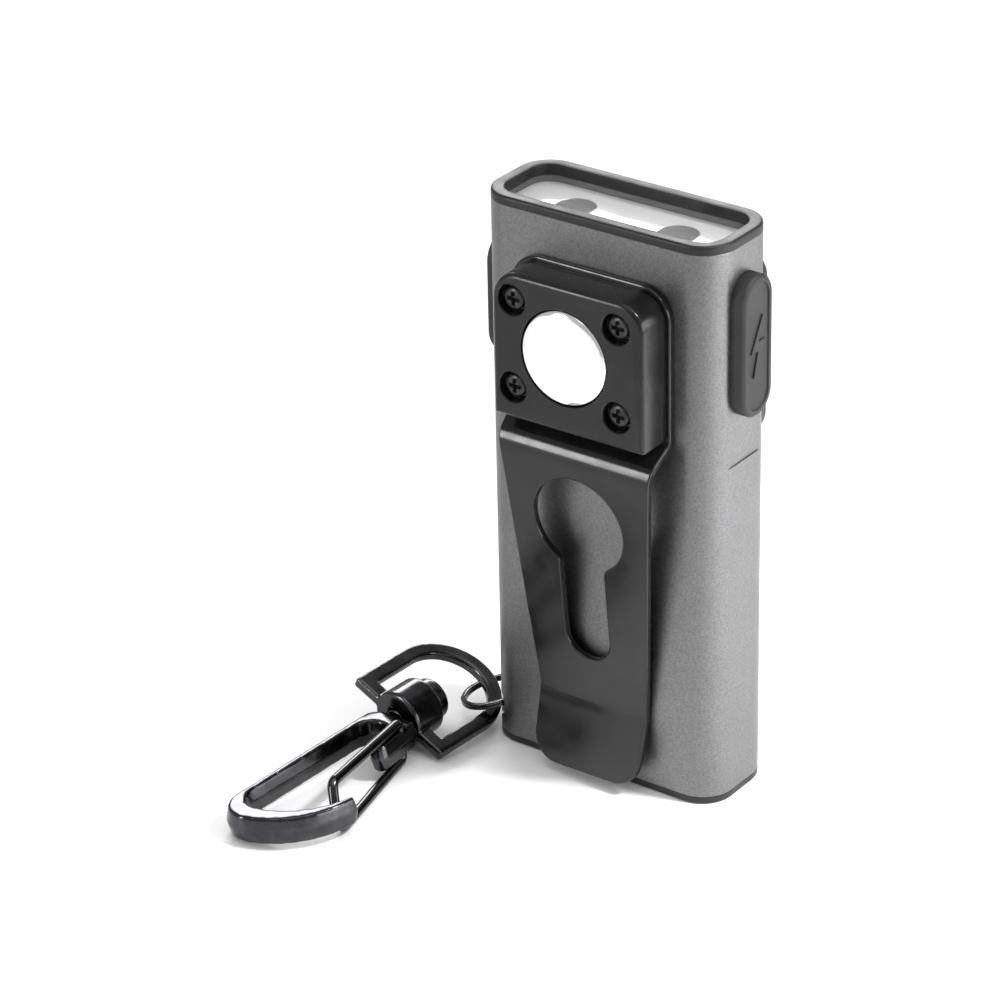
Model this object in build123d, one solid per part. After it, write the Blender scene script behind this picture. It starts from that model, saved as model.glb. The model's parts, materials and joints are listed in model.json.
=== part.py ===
"""Keychain flashlight: flat tube body, twin front lights, rear flood light, magnet, clip and snap hook.

Frame: origin at the centre of the bottom face, X across the width, the clip and magnet at -Y, +Z up.
All sizes are in millimetres.
"""
import os
from math import cos, radians, sin, sqrt

from build123d import *

# ---------------------------------------------------------------- overall sizes
OVERALL_HEIGHT = 62.0
BODY_WIDTH = 28.2
BODY_DEPTH = 11.0
BODY_CORNER = 3.6
WALL = 1.0
RIM_CLEARANCE = 0.05          # push fit of the caps in the tube

# ---------------------------------------------------------------- bottom end
CAP_FLANGE = 0.8
CAP_PLUG = 4.7
CAP_PLUG_WALL = 1.1
CAP_FLOOR = 0.8
CAP_EDGE_ROUND = 0.3

# ---------------------------------------------------------------- light head
BEZEL_FLANGE = 0.9
BEZEL_RIM = 1.35
BEZEL_LIP = 1.0
BEZEL_COLLAR_WALL = 0.5
BEZEL_COLLAR = 1.5
BEZEL_EDGE_ROUND = 0.3
HEAD_CLEARANCE = 0.1
SEAL_THICKNESS = 0.2
LENS_THICKNESS = 0.8
REFLECTOR_HEIGHT = 3.0
WELL_SPACING = 12.2
WELL_TOP_RADIUS = 2.05
WELL_BASE_RADIUS = 1.9
LIGHT_BOARD_THICKNESS = 0.7
CHIP_SIDE = 2.4
CHIP_BASE = 0.4
CHIP_DOME_RADIUS = 1.05
CHIP_DOME_HEIGHT = 0.6
CHIP_DOME_ROUND = 0.48

# ---------------------------------------------------------------- magnet holder and its screws
MAGNET_DIAMETER = 10.0
MAGNET_X = -0.45              # magnet and screws sit this much off the middle of the width
MAGNET_THICKNESS = 3.0
MAGNET_PROUD = 0.1
MAGNET_GAP = 0.25
MAGNET_CHAMFER = 0.25
HOLDER_PROUD = 4.7            # front wall of the tube to the holder's face
HOLDER_SIDE = 2.8
HOLDER_TOP_MARGIN = 2.88
HOLDER_BASE_MARGIN = 3.38
HOLDER_DROP = 13.1            # top of the flashlight to the magnet's centre
HOLDER_CORNER = 3.0
HOLDER_EDGE = 0.5
SCREW_LAND = 0.86
SCREW_ANGLE = 37.3
SCREW_RADIUS = 0.8
SCREW_HEAD_RADIUS = 1.2
SCREW_HEAD_HEIGHT = 0.9
SCREW_HEAD_ROUND = 0.3
SCREW_RECESS = 0.35
COUNTERBORE_RADIUS = 1.68
SCREW_HOLE_CLEARANCE = 0.1
CROSS_WIDTH = 0.35
CROSS_LENGTH = 1.35
CROSS_DEPTH = 0.5
NUT_PLATE_THICKNESS = 1.2
NUT_PLATE_MARGIN = 1.8
SCREW_TIP = 0.2

# ---------------------------------------------------------------- clip
CLIP_SHEET = 0.8
CLIP_RIM = 0.45               # the plate shows this much around the holder
CLIP_SPLIT_DROP = 0.1         # holder's base to the line where the arm starts to bend
CLIP_RIDGE_DROP = 2.4
CLIP_RIDGE_HALF = 9.1
CLIP_RIDGE_OUT = 4.15         # tube's front to the ridge's outer surface
CLIP_RIDGE_BEND = 1.3
CLIP_LOW_Z = 8.7
CLIP_LOW_HALF = 6.6
CLIP_LOW_GAP = 0.05
CLIP_LOW_BEND = 4.0
CLIP_END_Z = 1.2
CLIP_END_OUT = 2.75
CLIP_END_HALF = 6.5
CLIP_END_CORNER = 3.0
KEYHOLE_DROP = 8.3
KEYHOLE_RADIUS = 5.35
KEYHOLE_SLOT_HALF = 2.65
KEYHOLE_SLOT_Z = 14.0
KEYHOLE_FILLET = 1.0

# ---------------------------------------------------------------- side button
BUTTON_DROP = 12.9
BUTTON_LENGTH = 13.2
BUTTON_WIDTH = 5.8
BUTTON_PROUD = 1.0
BUTTON_CLEARANCE = 0.1
BUTTON_EDGE = 0.45
BUTTON_FLANGE = 0.55
BUTTON_FLANGE_LIP = 0.4
BUTTON_STEM_RADIUS = 1.0
BUTTON_TRAVEL = 0.4
FLANGE_GAP = 0.08
PLUNGER_RADIUS = 0.6
PLUNGER_FIT = 0.05
PLUNGER_OUT = 0.6
PLUNGER_IN = 0.9
SWITCH_DEPTH = 2.2
SWITCH_WIDTH = 2.8
SWITCH_HEIGHT = 4.5
SWITCH_ROUND = 0.3
SWITCH_BACKSET = 3.4          # tube's left face to the front of the switch

# ---------------------------------------------------------------- charging port
PORT_DROP = 11.55
PORT_LENGTH = 7.9
PORT_WIDTH = 3.5
POCKET_DEPTH = 0.13
POCKET_HALF = 3.2
POCKET_BELOW = 5.1
COVER_LENGTH = 15.1
COVER_WIDTH = 5.2
COVER_PROUD = 1.5
COVER_BEVEL = 0.3
COVER_RIM = 0.45
COVER_RECESS = 0.2
COVER_TONGUE = 1.7
TONGUE_CLEARANCE_SIDE = 0.4
TONGUE_CLEARANCE_END = 0.5
SYMBOL_HEIGHT = 0.15
SYMBOL_REACH = 3.2
SYMBOL_HALF = 1.15
SYMBOL_LEAN = 0.5
SYMBOL_WAIST = 0.12
SYMBOL_STEP = 0.35
ANCHOR_WIDTH = 2.4
ANCHOR_HEIGHT = 1.0
ANCHOR_HEAD = 0.8
ANCHOR_HEAD_LIP = 0.5
HINGE_GAP = 0.08
SOCKET_LENGTH = 5.6
SOCKET_WIDTH = 2.8            # along Y
SOCKET_HEIGHT = 7.5
SOCKET_SHELL = 0.3
SOCKET_ROUND = 0.55
SOCKET_BACKSET = 2.1          # tube's right face to the socket's mouth

# ---------------------------------------------------------------- flood light on the back
FLOOD_WIDTH = 24.0
FLOOD_HEIGHT = 20.0
FLOOD_DROP = 15.0
FLOOD_PROUD = 1.9
FLOOD_CORNER = 2.6
FLOOD_RIM = 1.7
FLOOD_EDGE = 0.5
FLOOD_SET_BACK = 0.3
FLOOD_LENS_THICKNESS = 0.9
FLOOD_LENS_CLEARANCE = 0.08
FLOOD_WINDOW_MARGIN = 1.6     # lens edge to the window in the tube's wall
FLOOD_BOARD_THICKNESS = 1.0
FLOOD_BOARD_MARGIN = 1.5
EMITTER_THICKNESS = 0.5
EMITTER_MARGIN = 1.0

# ---------------------------------------------------------------- inside
BOARD_THICKNESS = 0.8
BOARD_SIDE_GAP = 2.1
BOARD_TOP_GAP = 0.4
SHELF_THICKNESS = 1.0
SHELF_GAP = 1.0
SHELF_CLEARANCE = 0.15
BATTERY_WIDTH = 24.0
BATTERY_DEPTH = 6.4
BATTERY_CORNER = 1.6
BATTERY_END_GAP = 0.4
PAD_WIDTH = 18.0
PAD_END_MARGIN = 4.0
LEAD_RADIUS = 0.4
LEAD_SPACING = 8.0
LEAD_HOLE_CLEARANCE = 0.2
LEAD_OVERLAP = 2.2

# ---------------------------------------------------------------- ring, bow and snap hook
RING_RADIUS = 3.4
RING_WIRE = 0.42
RING_REACH = 5.27             # tube's corner axis to the ring's centre
RING_BEARING = 181.2          # direction of the ring's centre from the corner axis, degrees from +X
RING_Z = 2.85
RING_PITCH = 3.8
RING_ROLL = -15.6
RING_HOLE_RADIUS = 1.35
RING_HOLE_SHIFT = 0.15        # the tilted wire needs the side hole this much nearer the front
RING_POCKET = 3.4             # width of the end cap's cut-out at the corner
HUB_FROM_RING = (-4.52, -10.13)
HUB_Z = 3.2
BOW_YAW = -6.3
BOW_PITCH = 3.0
BOW_ROLL = 22.4
BOW_HALF = 6.35
BOW_STRAIGHT = 6.5
BOW_RISE = 5.95
BOW_BAR = 1.6
BOW_THICKNESS = 1.3
BOW_EDGE = 0.3
CROSSBAR = 1.7
BOSS_RADIUS = 3.1
BOSS_LENGTH = 4.0
BOSS_EDGE = 0.3
PIN_RADIUS = 1.2
PIN_FIT = 0.09
SWIVEL_GAP = 0.35
RIVET_RADIUS = 2.3
RIVET_HEIGHT = 1.4
RIVET_ROUND = 0.45
HOOK_YAW = -5.0
HOOK_PITCH = 2.0
HOOK_ROLL = -4.0
HOOK_THICKNESS = 3.0
HOOK_OFFSET = -0.5            # swivel axis to the hook's middle plane
HOOK_DRAFT = 13.0
HOOK_LEFT = -2.85
HOOK_INNER = -1.45
HOOK_NECK_EDGE = 3.3
HOOK_SHOULDER = 1.2
HOOK_CROWN_Y = -5.3
HOOK_BEND_Y = -20.9
HOOK_TOE_DROP = 1.3
HOOK_TOE = (1.5, -25.6)
HOOK_INNER_TOE = (0.9, -22.9)
HOOK_NECK_INNER = 1.95
HOOK_HEEL_Y = -6.8
HOOK_HEEL = 2.3
NOSE_ROUND = 0.65
NOSE_OUT = (8.7, -16.7)
NOSE_IN = (7.5, -16.5)
GATE_WIRE = 0.55
GATE_FIT = 0.06
GATE_PIVOT = (2.7, -3.4)
GATE_LEG_GAP = 0.1
GATE_UPPER = (5.3, -16.2)
GATE_LOWER = (7.4, -18.2)
GATE_BEND = 1.1
GATE_TURN_IN = 0.6
GATE_END_DEPTH = 1.0

# ---------------------------------------------------------------- places that follow from the sizes
FRONT = -BODY_DEPTH / 2
BACK = BODY_DEPTH / 2
SIDE = BODY_WIDTH / 2
TUBE_TOP = OVERALL_HEIGHT - BEZEL_FLANGE
CAVITY_WIDTH = BODY_WIDTH - 2 * WALL
CAVITY_DEPTH = BODY_DEPTH - 2 * WALL
CAVITY_CORNER = BODY_CORNER - WALL

SEAL_TOP = OVERALL_HEIGHT - BEZEL_LIP
LENS_TOP = SEAL_TOP - SEAL_THICKNESS
REFLECTOR_TOP = LENS_TOP - LENS_THICKNESS
LIGHT_BOARD_TOP = REFLECTOR_TOP - REFLECTOR_HEIGHT
LIGHT_BOARD_BASE = LIGHT_BOARD_TOP - LIGHT_BOARD_THICKNESS
WELL_X = WELL_SPACING / 2

MAGNET_RADIUS = MAGNET_DIAMETER / 2
MAGNET_Z = OVERALL_HEIGHT - HOLDER_DROP
POCKET_RADIUS = MAGNET_RADIUS + MAGNET_GAP
SCREW_CIRCLE = POCKET_RADIUS + SCREW_LAND + COUNTERBORE_RADIUS
SCREW_X = SCREW_CIRCLE * cos(radians(SCREW_ANGLE))
SCREW_DZ = SCREW_CIRCLE * sin(radians(SCREW_ANGLE))
SCREW_PLACES = [(MAGNET_X + dx, MAGNET_Z + dz) for dx in (-SCREW_X, SCREW_X) for dz in (-SCREW_DZ, SCREW_DZ)]
HOLDER_HALF = SCREW_X + HOLDER_SIDE
HOLDER_TOP = MAGNET_Z + SCREW_DZ + HOLDER_TOP_MARGIN
HOLDER_BASE = MAGNET_Z - SCREW_DZ - HOLDER_BASE_MARGIN
HOLDER_FACE = FRONT - HOLDER_PROUD
CLIP_FACE = FRONT - CLIP_SHEET
HEAD_TOP_Y = HOLDER_FACE + SCREW_RECESS
HEAD_BASE_Y = HEAD_TOP_Y + SCREW_HEAD_HEIGHT
NUT_PLATE_BACK = FRONT + WALL + NUT_PLATE_THICKNESS

CLIP_HALF = HOLDER_HALF + CLIP_RIM
CLIP_SPLIT_Z = HOLDER_BASE - CLIP_SPLIT_DROP
CLIP_RIDGE_Z = CLIP_SPLIT_Z - CLIP_RIDGE_DROP
KEYHOLE_Z = CLIP_RIDGE_Z - KEYHOLE_DROP

BUTTON_Z = OVERALL_HEIGHT - BUTTON_DROP
BUTTON_FACE = -SIDE - BUTTON_PROUD
PORT_Z = OVERALL_HEIGHT - PORT_DROP
COVER_SEAT = SIDE - POCKET_DEPTH
COVER_FACE = SIDE + COVER_PROUD
COVER_BASE = PORT_Z - COVER_LENGTH / 2
HINGE_RADIUS = (COVER_FACE - COVER_SEAT) / 2
HINGE_X = COVER_SEAT + HINGE_RADIUS
HINGE_Z = COVER_BASE + HINGE_RADIUS
SOCKET_MOUTH = SIDE - SOCKET_BACKSET

FLOOD_Z = OVERALL_HEIGHT - FLOOD_DROP
FLOOD_LENS_WIDTH = FLOOD_WIDTH - 2 * FLOOD_RIM
FLOOD_LENS_HEIGHT = FLOOD_HEIGHT - 2 * FLOOD_RIM
FLOOD_LENS_CORNER = FLOOD_CORNER - FLOOD_RIM / 2
FLOOD_LENS_FACE = BACK + FLOOD_PROUD - FLOOD_SET_BACK
FLOOD_LENS_BASE = FLOOD_LENS_FACE - FLOOD_LENS_THICKNESS
WINDOW_WIDTH = FLOOD_LENS_WIDTH - 2 * FLOOD_WINDOW_MARGIN
WINDOW_HEIGHT = FLOOD_LENS_HEIGHT - 2 * FLOOD_WINDOW_MARGIN
FLOOD_BOARD_FACE = BACK - WALL
FLOOD_BOARD_BASE = FLOOD_BOARD_FACE - FLOOD_BOARD_THICKNESS
FLOOD_BOARD_LOW = FLOOD_Z - WINDOW_HEIGHT / 2 - FLOOD_BOARD_MARGIN

BOARD_FACE = SOCKET_WIDTH / 2
BOARD_BACK = BOARD_FACE + BOARD_THICKNESS
BOARD_TOP = LIGHT_BOARD_BASE - BOARD_TOP_GAP
SHELF_TOP = FLOOD_BOARD_LOW - SHELF_CLEARANCE
BOARD_BASE = SHELF_TOP
BOARD_LENGTH = BOARD_TOP - BOARD_BASE
SHELF_BASE = SHELF_TOP - SHELF_THICKNESS
BATTERY_BASE = CAP_FLANGE + CAP_PLUG + BATTERY_END_GAP
BATTERY_TOP = SHELF_BASE - SHELF_GAP

CORNER_X = -SIDE + BODY_CORNER
CORNER_Y = FRONT + BODY_CORNER
RING_OUT = Vector(cos(radians(RING_BEARING)), sin(radians(RING_BEARING)), 0)
RING_CENTRE = Vector(CORNER_X, CORNER_Y, RING_Z) + RING_OUT * RING_REACH
RING_FRAME = Pos(*RING_CENTRE) * Rot(X=RING_PITCH) * Rot(Y=RING_ROLL)
HUB = Vector(RING_CENTRE.X + HUB_FROM_RING[0], RING_CENTRE.Y + HUB_FROM_RING[1], HUB_Z)
BOW_FRAME = Pos(*HUB) * Rot(Z=BOW_YAW) * Rot(X=BOW_PITCH) * Rot(Y=BOW_ROLL)
HOOK_FRAME = Pos(*HUB) * Rot(Z=HOOK_YAW) * Rot(X=HOOK_PITCH) * Rot(Y=HOOK_ROLL)
BOSS_NEAR = -CROSSBAR / 2
BOSS_FAR = BOSS_NEAR + BOSS_LENGTH
NECK_Y = BOSS_NEAR - SWIVEL_GAP
RIVET_SEAT = BOSS_FAR + SWIVEL_GAP
HOOK_LOW = HOOK_OFFSET - HOOK_THICKNESS / 2
HOOK_HIGH = HOOK_OFFSET + HOOK_THICKNESS / 2
LEG_RISE = HOOK_THICKNESS / 2 + GATE_LEG_GAP + GATE_WIRE


# ---------------------------------------------------------------- helpers
def upright(outline, low, high):
    """A prism between two heights."""
    return Pos(0, 0, low) * extrude(outline, high - low)


def through_y(outline, front, back):
    """A prism along Y of an outline drawn in X and Z."""
    plane = Plane(origin=(0, back, 0), x_dir=(1, 0, 0), z_dir=(0, -1, 0))
    return extrude(plane * outline, back - front)


def through_x(outline, low, high):
    """A prism along X of an outline drawn in Y and Z."""
    plane = Plane(origin=(low, 0, 0), x_dir=(0, 1, 0), z_dir=(1, 0, 0))
    return extrude(plane * outline, high - low)


def rounded(width, depth, corner):
    return RectangleRounded(width, depth, corner)


def inset(gap):
    """The tube's cavity outline, smaller by a gap all round."""
    return rounded(CAVITY_WIDTH - 2 * gap, CAVITY_DEPTH - 2 * gap, CAVITY_CORNER - gap)


def stadium(length, width):
    """A slot outline that is longest along its second axis."""
    return SlotOverall(length, width, rotation=90)


def tube_outline():
    return rounded(BODY_WIDTH, BODY_DEPTH, BODY_CORNER)


def screw_rods(radius, front, back):
    """Four round prisms along Y at the holder's screws."""
    outline = Sketch() + [Pos(x, z) * Circle(radius) for x, z in SCREW_PLACES]
    return through_y(outline, front, back)


def ring_holes():
    """The middle of each hole the ring needs in the tube's wall, with the way out through the wall."""
    middle = BODY_CORNER - WALL / 2
    along = (RING_REACH ** 2 + middle ** 2 - RING_RADIUS ** 2) / (2 * RING_REACH)
    aside = sqrt(middle ** 2 - along ** 2)
    across = Vector(-RING_OUT.Y, RING_OUT.X, 0)
    corner = Vector(CORNER_X, CORNER_Y, 0)
    front = corner + RING_OUT * along + across * aside
    inner_edge = sqrt((RING_RADIUS - RING_WIRE) ** 2 - (-SIDE + WALL - RING_CENTRE.X) ** 2)
    outer_edge = sqrt((RING_RADIUS + RING_WIRE) ** 2 - (-SIDE - RING_CENTRE.X) ** 2)
    side_y = RING_CENTRE.Y + (inner_edge + outer_edge) / 2 - RING_HOLE_SHIFT
    side = Vector(-SIDE + WALL / 2, side_y, 0)
    normal = Plane(RING_FRAME).z_dir
    holes = []
    for point, outward in ((front, (front - corner).normalized()), (side, Vector(-1, 0, 0))):
        reach = point - RING_CENTRE
        fall = (reach.X * normal.X + reach.Y * normal.Y) / normal.Z
        holes.append((Vector(point.X, point.Y, RING_Z - fall), outward))
    return holes


# ---------------------------------------------------------------- body
def body_tube():
    tube = upright(tube_outline(), CAP_FLANGE, TUBE_TOP)
    tube -= upright(inset(0), CAP_FLANGE, TUBE_TOP)
    counterbore = inset(-BEZEL_COLLAR_WALL)
    tube -= upright(counterbore, TUBE_TOP - BEZEL_COLLAR, TUBE_TOP)
    tube -= screw_rods(SCREW_RADIUS + SCREW_HOLE_CLEARANCE, FRONT, FRONT + WALL)
    gap = 2 * BUTTON_CLEARANCE
    slot = Pos(0, BUTTON_Z) * stadium(BUTTON_LENGTH + gap, BUTTON_WIDTH + gap)
    tube -= through_x(slot, -SIDE, -SIDE + 2 * WALL)
    pocket_top = PORT_Z + COVER_LENGTH / 2 + BUTTON_CLEARANCE
    pocket_base = COVER_BASE - POCKET_BELOW
    pocket = Pos(0, (pocket_top + pocket_base) / 2) * Rectangle(2 * POCKET_HALF, pocket_top - pocket_base)
    tube -= through_x(pocket, COVER_SEAT, SIDE)
    tube -= through_x(Pos(0, PORT_Z) * stadium(PORT_LENGTH, PORT_WIDTH), SIDE - 2 * WALL, SIDE)
    anchor_slot = Pos(0, HINGE_Z) * Rectangle(ANCHOR_WIDTH, ANCHOR_HEIGHT)
    tube -= through_x(anchor_slot, SIDE - 2 * WALL, SIDE)
    window = Pos(0, FLOOD_Z) * rounded(WINDOW_WIDTH, WINDOW_HEIGHT, FLOOD_LENS_CORNER)
    tube -= through_y(window, BACK - WALL, BACK)
    for point, outward in ring_holes():
        bore = Plane(origin=point - outward * WALL, z_dir=outward)
        tube -= extrude(bore * Circle(RING_HOLE_RADIUS), 2 * WALL)
    return tube


def end_cap():
    flange = upright(tube_outline(), 0, CAP_FLANGE)
    flange = fillet(flange.faces().sort_by(Axis.Z)[0].edges(), CAP_EDGE_ROUND)
    plug_top = CAP_FLANGE + CAP_PLUG
    plug = upright(inset(RIM_CLEARANCE), CAP_FLANGE, plug_top)
    plug -= upright(inset(CAP_PLUG_WALL), CAP_FLANGE + CAP_FLOOR, plug_top)
    pocket_depth = CORNER_Y - FRONT + RING_POCKET
    pocket = Box(RING_POCKET, pocket_depth, CAP_PLUG, align=(Align.MIN, Align.MIN, Align.MIN))
    plug -= Pos(-SIDE, FRONT, CAP_FLANGE + CAP_FLOOR / 2) * pocket
    return flange + plug


def front_bezel():
    ring = upright(tube_outline(), TUBE_TOP, OVERALL_HEIGHT)
    ring = fillet(ring.faces().sort_by(Axis.Z)[-1].edges(), BEZEL_EDGE_ROUND)
    collar = inset(RIM_CLEARANCE - BEZEL_COLLAR_WALL)
    ring += upright(collar, TUBE_TOP - BEZEL_COLLAR, TUBE_TOP)
    opening = inset(BEZEL_RIM - WALL)
    ring -= upright(opening, TUBE_TOP - BEZEL_COLLAR, OVERALL_HEIGHT)
    ring -= upright(inset(0), TUBE_TOP - BEZEL_COLLAR, SEAL_TOP)
    return ring


def lens_seal():
    seal = upright(inset(HEAD_CLEARANCE), LENS_TOP, SEAL_TOP)
    return seal - upright(inset(BEZEL_RIM - WALL), LENS_TOP, SEAL_TOP)


def lens():
    return upright(inset(HEAD_CLEARANCE), REFLECTOR_TOP, LENS_TOP)


def reflector():
    block = upright(inset(HEAD_CLEARANCE), LIGHT_BOARD_TOP, REFLECTOR_TOP)
    middle = (LIGHT_BOARD_TOP + REFLECTOR_TOP) / 2
    for x in (-WELL_X, WELL_X):
        block -= Pos(x, 0, middle) * Cone(WELL_BASE_RADIUS, WELL_TOP_RADIUS, REFLECTOR_HEIGHT)
    return block


def light_board():
    return upright(inset(HEAD_CLEARANCE), LIGHT_BOARD_BASE, LIGHT_BOARD_TOP)


def spot_chips():
    chips = []
    dome_base = LIGHT_BOARD_TOP + CHIP_BASE
    for x in (-WELL_X, WELL_X):
        base = upright(Pos(x, 0) * Rectangle(CHIP_SIDE, CHIP_SIDE), LIGHT_BOARD_TOP, dome_base)
        dome = Pos(x, 0, dome_base + CHIP_DOME_HEIGHT / 2) * Cylinder(CHIP_DOME_RADIUS, CHIP_DOME_HEIGHT)
        dome = fillet(dome.faces().sort_by(Axis.Z)[-1].edges(), CHIP_DOME_ROUND)
        chips.append(base + dome)
    return Compound(children=chips)


# ---------------------------------------------------------------- magnet holder
def holder_outline(margin):
    """Holder seen from the front: round top corners, almost square base corners."""
    half = HOLDER_HALF + margin
    top = HOLDER_TOP + margin
    outline = Pos(0, (top + HOLDER_BASE) / 2) * Rectangle(2 * half, top - HOLDER_BASE)
    upper = outline.vertices().sort_by(Axis.Y)[-2:]
    return fillet(upper, HOLDER_CORNER + margin)


def magnet_holder():
    block = through_y(holder_outline(0), HOLDER_FACE, CLIP_FACE)
    block = fillet(block.faces().sort_by(Axis.Y)[0].edges(), HOLDER_EDGE)
    pocket_floor = HOLDER_FACE - MAGNET_PROUD + MAGNET_THICKNESS
    block -= through_y(Pos(MAGNET_X, MAGNET_Z) * Circle(POCKET_RADIUS), HOLDER_FACE, pocket_floor)
    block -= screw_rods(COUNTERBORE_RADIUS, HOLDER_FACE, HEAD_BASE_Y)
    block -= screw_rods(SCREW_RADIUS + SCREW_HOLE_CLEARANCE, HEAD_BASE_Y, CLIP_FACE)
    return block


def magnet():
    face = HOLDER_FACE - MAGNET_PROUD
    disc = through_y(Pos(MAGNET_X, MAGNET_Z) * Circle(MAGNET_RADIUS), face, face + MAGNET_THICKNESS)
    return chamfer(disc.faces().sort_by(Axis.Y)[0].edges(), MAGNET_CHAMFER)


def holder_screws():
    screws = []
    tip = NUT_PLATE_BACK + SCREW_TIP
    slot = Rectangle(CROSS_WIDTH, CROSS_LENGTH) + Rectangle(CROSS_LENGTH, CROSS_WIDTH)
    for x, z in SCREW_PLACES:
        head = through_y(Pos(x, z) * Circle(SCREW_HEAD_RADIUS), HEAD_TOP_Y, HEAD_BASE_Y)
        head = fillet(head.faces().sort_by(Axis.Y)[0].edges(), SCREW_HEAD_ROUND)
        head -= through_y(Pos(x, z) * slot, HEAD_TOP_Y, HEAD_TOP_Y + CROSS_DEPTH)
        screws.append(head + through_y(Pos(x, z) * Circle(SCREW_RADIUS), HEAD_BASE_Y, tip))
    return Compound(children=screws)


def nut_plate():
    half = SCREW_X + NUT_PLATE_MARGIN
    height = 2 * (SCREW_DZ + NUT_PLATE_MARGIN)
    outline = Pos(MAGNET_X, MAGNET_Z) * rounded(2 * half, height, NUT_PLATE_MARGIN)
    plate = through_y(outline, FRONT + WALL, NUT_PLATE_BACK)
    return plate - screw_rods(SCREW_RADIUS, FRONT + WALL, NUT_PLATE_BACK)


# ---------------------------------------------------------------- clip
def clip_plate():
    outline = holder_outline(CLIP_RIM)
    outline += Pos(0, (HOLDER_BASE + CLIP_SPLIT_Z) / 2) * Rectangle(2 * CLIP_HALF, CLIP_SPLIT_DROP)
    plate = through_y(outline, CLIP_FACE, FRONT)
    return plate - screw_rods(SCREW_RADIUS + SCREW_HOLE_CLEARANCE, CLIP_FACE, FRONT)


def clip_front_outline():
    """The arm seen from the front, with its keyhole."""
    left = [(-CLIP_HALF, CLIP_SPLIT_Z), (-CLIP_RIDGE_HALF, CLIP_RIDGE_Z), (-CLIP_LOW_HALF, CLIP_LOW_Z),
            (-CLIP_END_HALF, CLIP_END_Z)]
    right = [(-x, z) for x, z in reversed(left)]
    blank = Polygon(*left, *right, align=None)
    blank = fillet(blank.vertices().sort_by(Axis.Y)[:2], CLIP_END_CORNER)
    slot_top = KEYHOLE_Z
    slot_base = KEYHOLE_SLOT_Z + KEYHOLE_SLOT_HALF
    slot = Pos(0, (slot_top + slot_base) / 2) * Rectangle(2 * KEYHOLE_SLOT_HALF, slot_top - slot_base)
    keyhole = Pos(0, KEYHOLE_Z) * Circle(KEYHOLE_RADIUS) + slot
    keyhole += Pos(0, slot_base) * Circle(KEYHOLE_SLOT_HALF)
    meeting = KEYHOLE_Z - sqrt(KEYHOLE_RADIUS ** 2 - KEYHOLE_SLOT_HALF ** 2)
    necks = [v for v in keyhole.vertices() if abs(v.Y - meeting) < CLIP_RIM / 2]
    return blank - fillet(necks, KEYHOLE_FILLET)


def clip_arm():
    outer = FilletPolyline(
        (CLIP_FACE, CLIP_SPLIT_Z), (FRONT - CLIP_RIDGE_OUT, CLIP_RIDGE_Z),
        (FRONT - CLIP_LOW_GAP - CLIP_SHEET, CLIP_LOW_Z), (FRONT - CLIP_END_OUT, CLIP_END_Z),
        radius=[CLIP_RIDGE_BEND, CLIP_LOW_BEND])
    sheet = make_face(offset(outer, amount=CLIP_SHEET, side=Side.LEFT))
    strip = through_x(sheet, -CLIP_HALF, CLIP_HALF)
    return strip & through_y(clip_front_outline(), FRONT - 2 * CLIP_RIDGE_OUT, FRONT)


# ---------------------------------------------------------------- button and switch
def power_button():
    lean = CAVITY_CORNER - sqrt(CAVITY_CORNER ** 2 - flange_over_corner() ** 2)
    inner = -SIDE + WALL + lean + FLANGE_GAP
    cap = through_x(Pos(0, BUTTON_Z) * stadium(BUTTON_LENGTH, BUTTON_WIDTH), BUTTON_FACE, inner)
    cap = fillet(cap.faces().sort_by(Axis.X)[0].edges(), BUTTON_EDGE)
    lip = 2 * BUTTON_FLANGE_LIP
    flange = Pos(0, BUTTON_Z) * stadium(BUTTON_LENGTH + lip, BUTTON_WIDTH + lip)
    cap += through_x(flange, inner, inner + BUTTON_FLANGE)
    stem_end = -SIDE + SWITCH_BACKSET - PLUNGER_OUT
    cap += through_x(Pos(0, BUTTON_Z) * Circle(BUTTON_STEM_RADIUS), inner + BUTTON_FLANGE, stem_end)
    return cap


def flange_over_corner():
    """How far the button's flange reaches over the start of the cavity's corner round."""
    return BUTTON_WIDTH / 2 + BUTTON_FLANGE_LIP - (CAVITY_DEPTH / 2 - CAVITY_CORNER)


def switch_plunger():
    front = -SIDE + SWITCH_BACKSET
    return through_x(Pos(0, BUTTON_Z) * Circle(PLUNGER_RADIUS), front - PLUNGER_OUT, front + PLUNGER_IN)


def push_switch():
    front = -SIDE + SWITCH_BACKSET
    outline = Pos(0, BUTTON_Z) * rounded(SWITCH_WIDTH, SWITCH_HEIGHT, SWITCH_ROUND)
    body = through_x(outline, front, front + SWITCH_DEPTH)
    bore_end = front + PLUNGER_IN + BUTTON_TRAVEL + PLUNGER_FIT
    return body - through_x(Pos(0, BUTTON_Z) * Circle(PLUNGER_RADIUS + PLUNGER_FIT), front, bore_end)


# ---------------------------------------------------------------- charging port
def charge_symbol():
    """A plain lightning bolt, the sign for charging, drawn about the cover's centre."""
    half = [(SYMBOL_LEAN, SYMBOL_REACH), (-SYMBOL_HALF, -SYMBOL_STEP), (-SYMBOL_WAIST, -SYMBOL_STEP)]
    return Polygon(*half, *[(-y, -z) for y, z in half], align=None)


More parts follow.
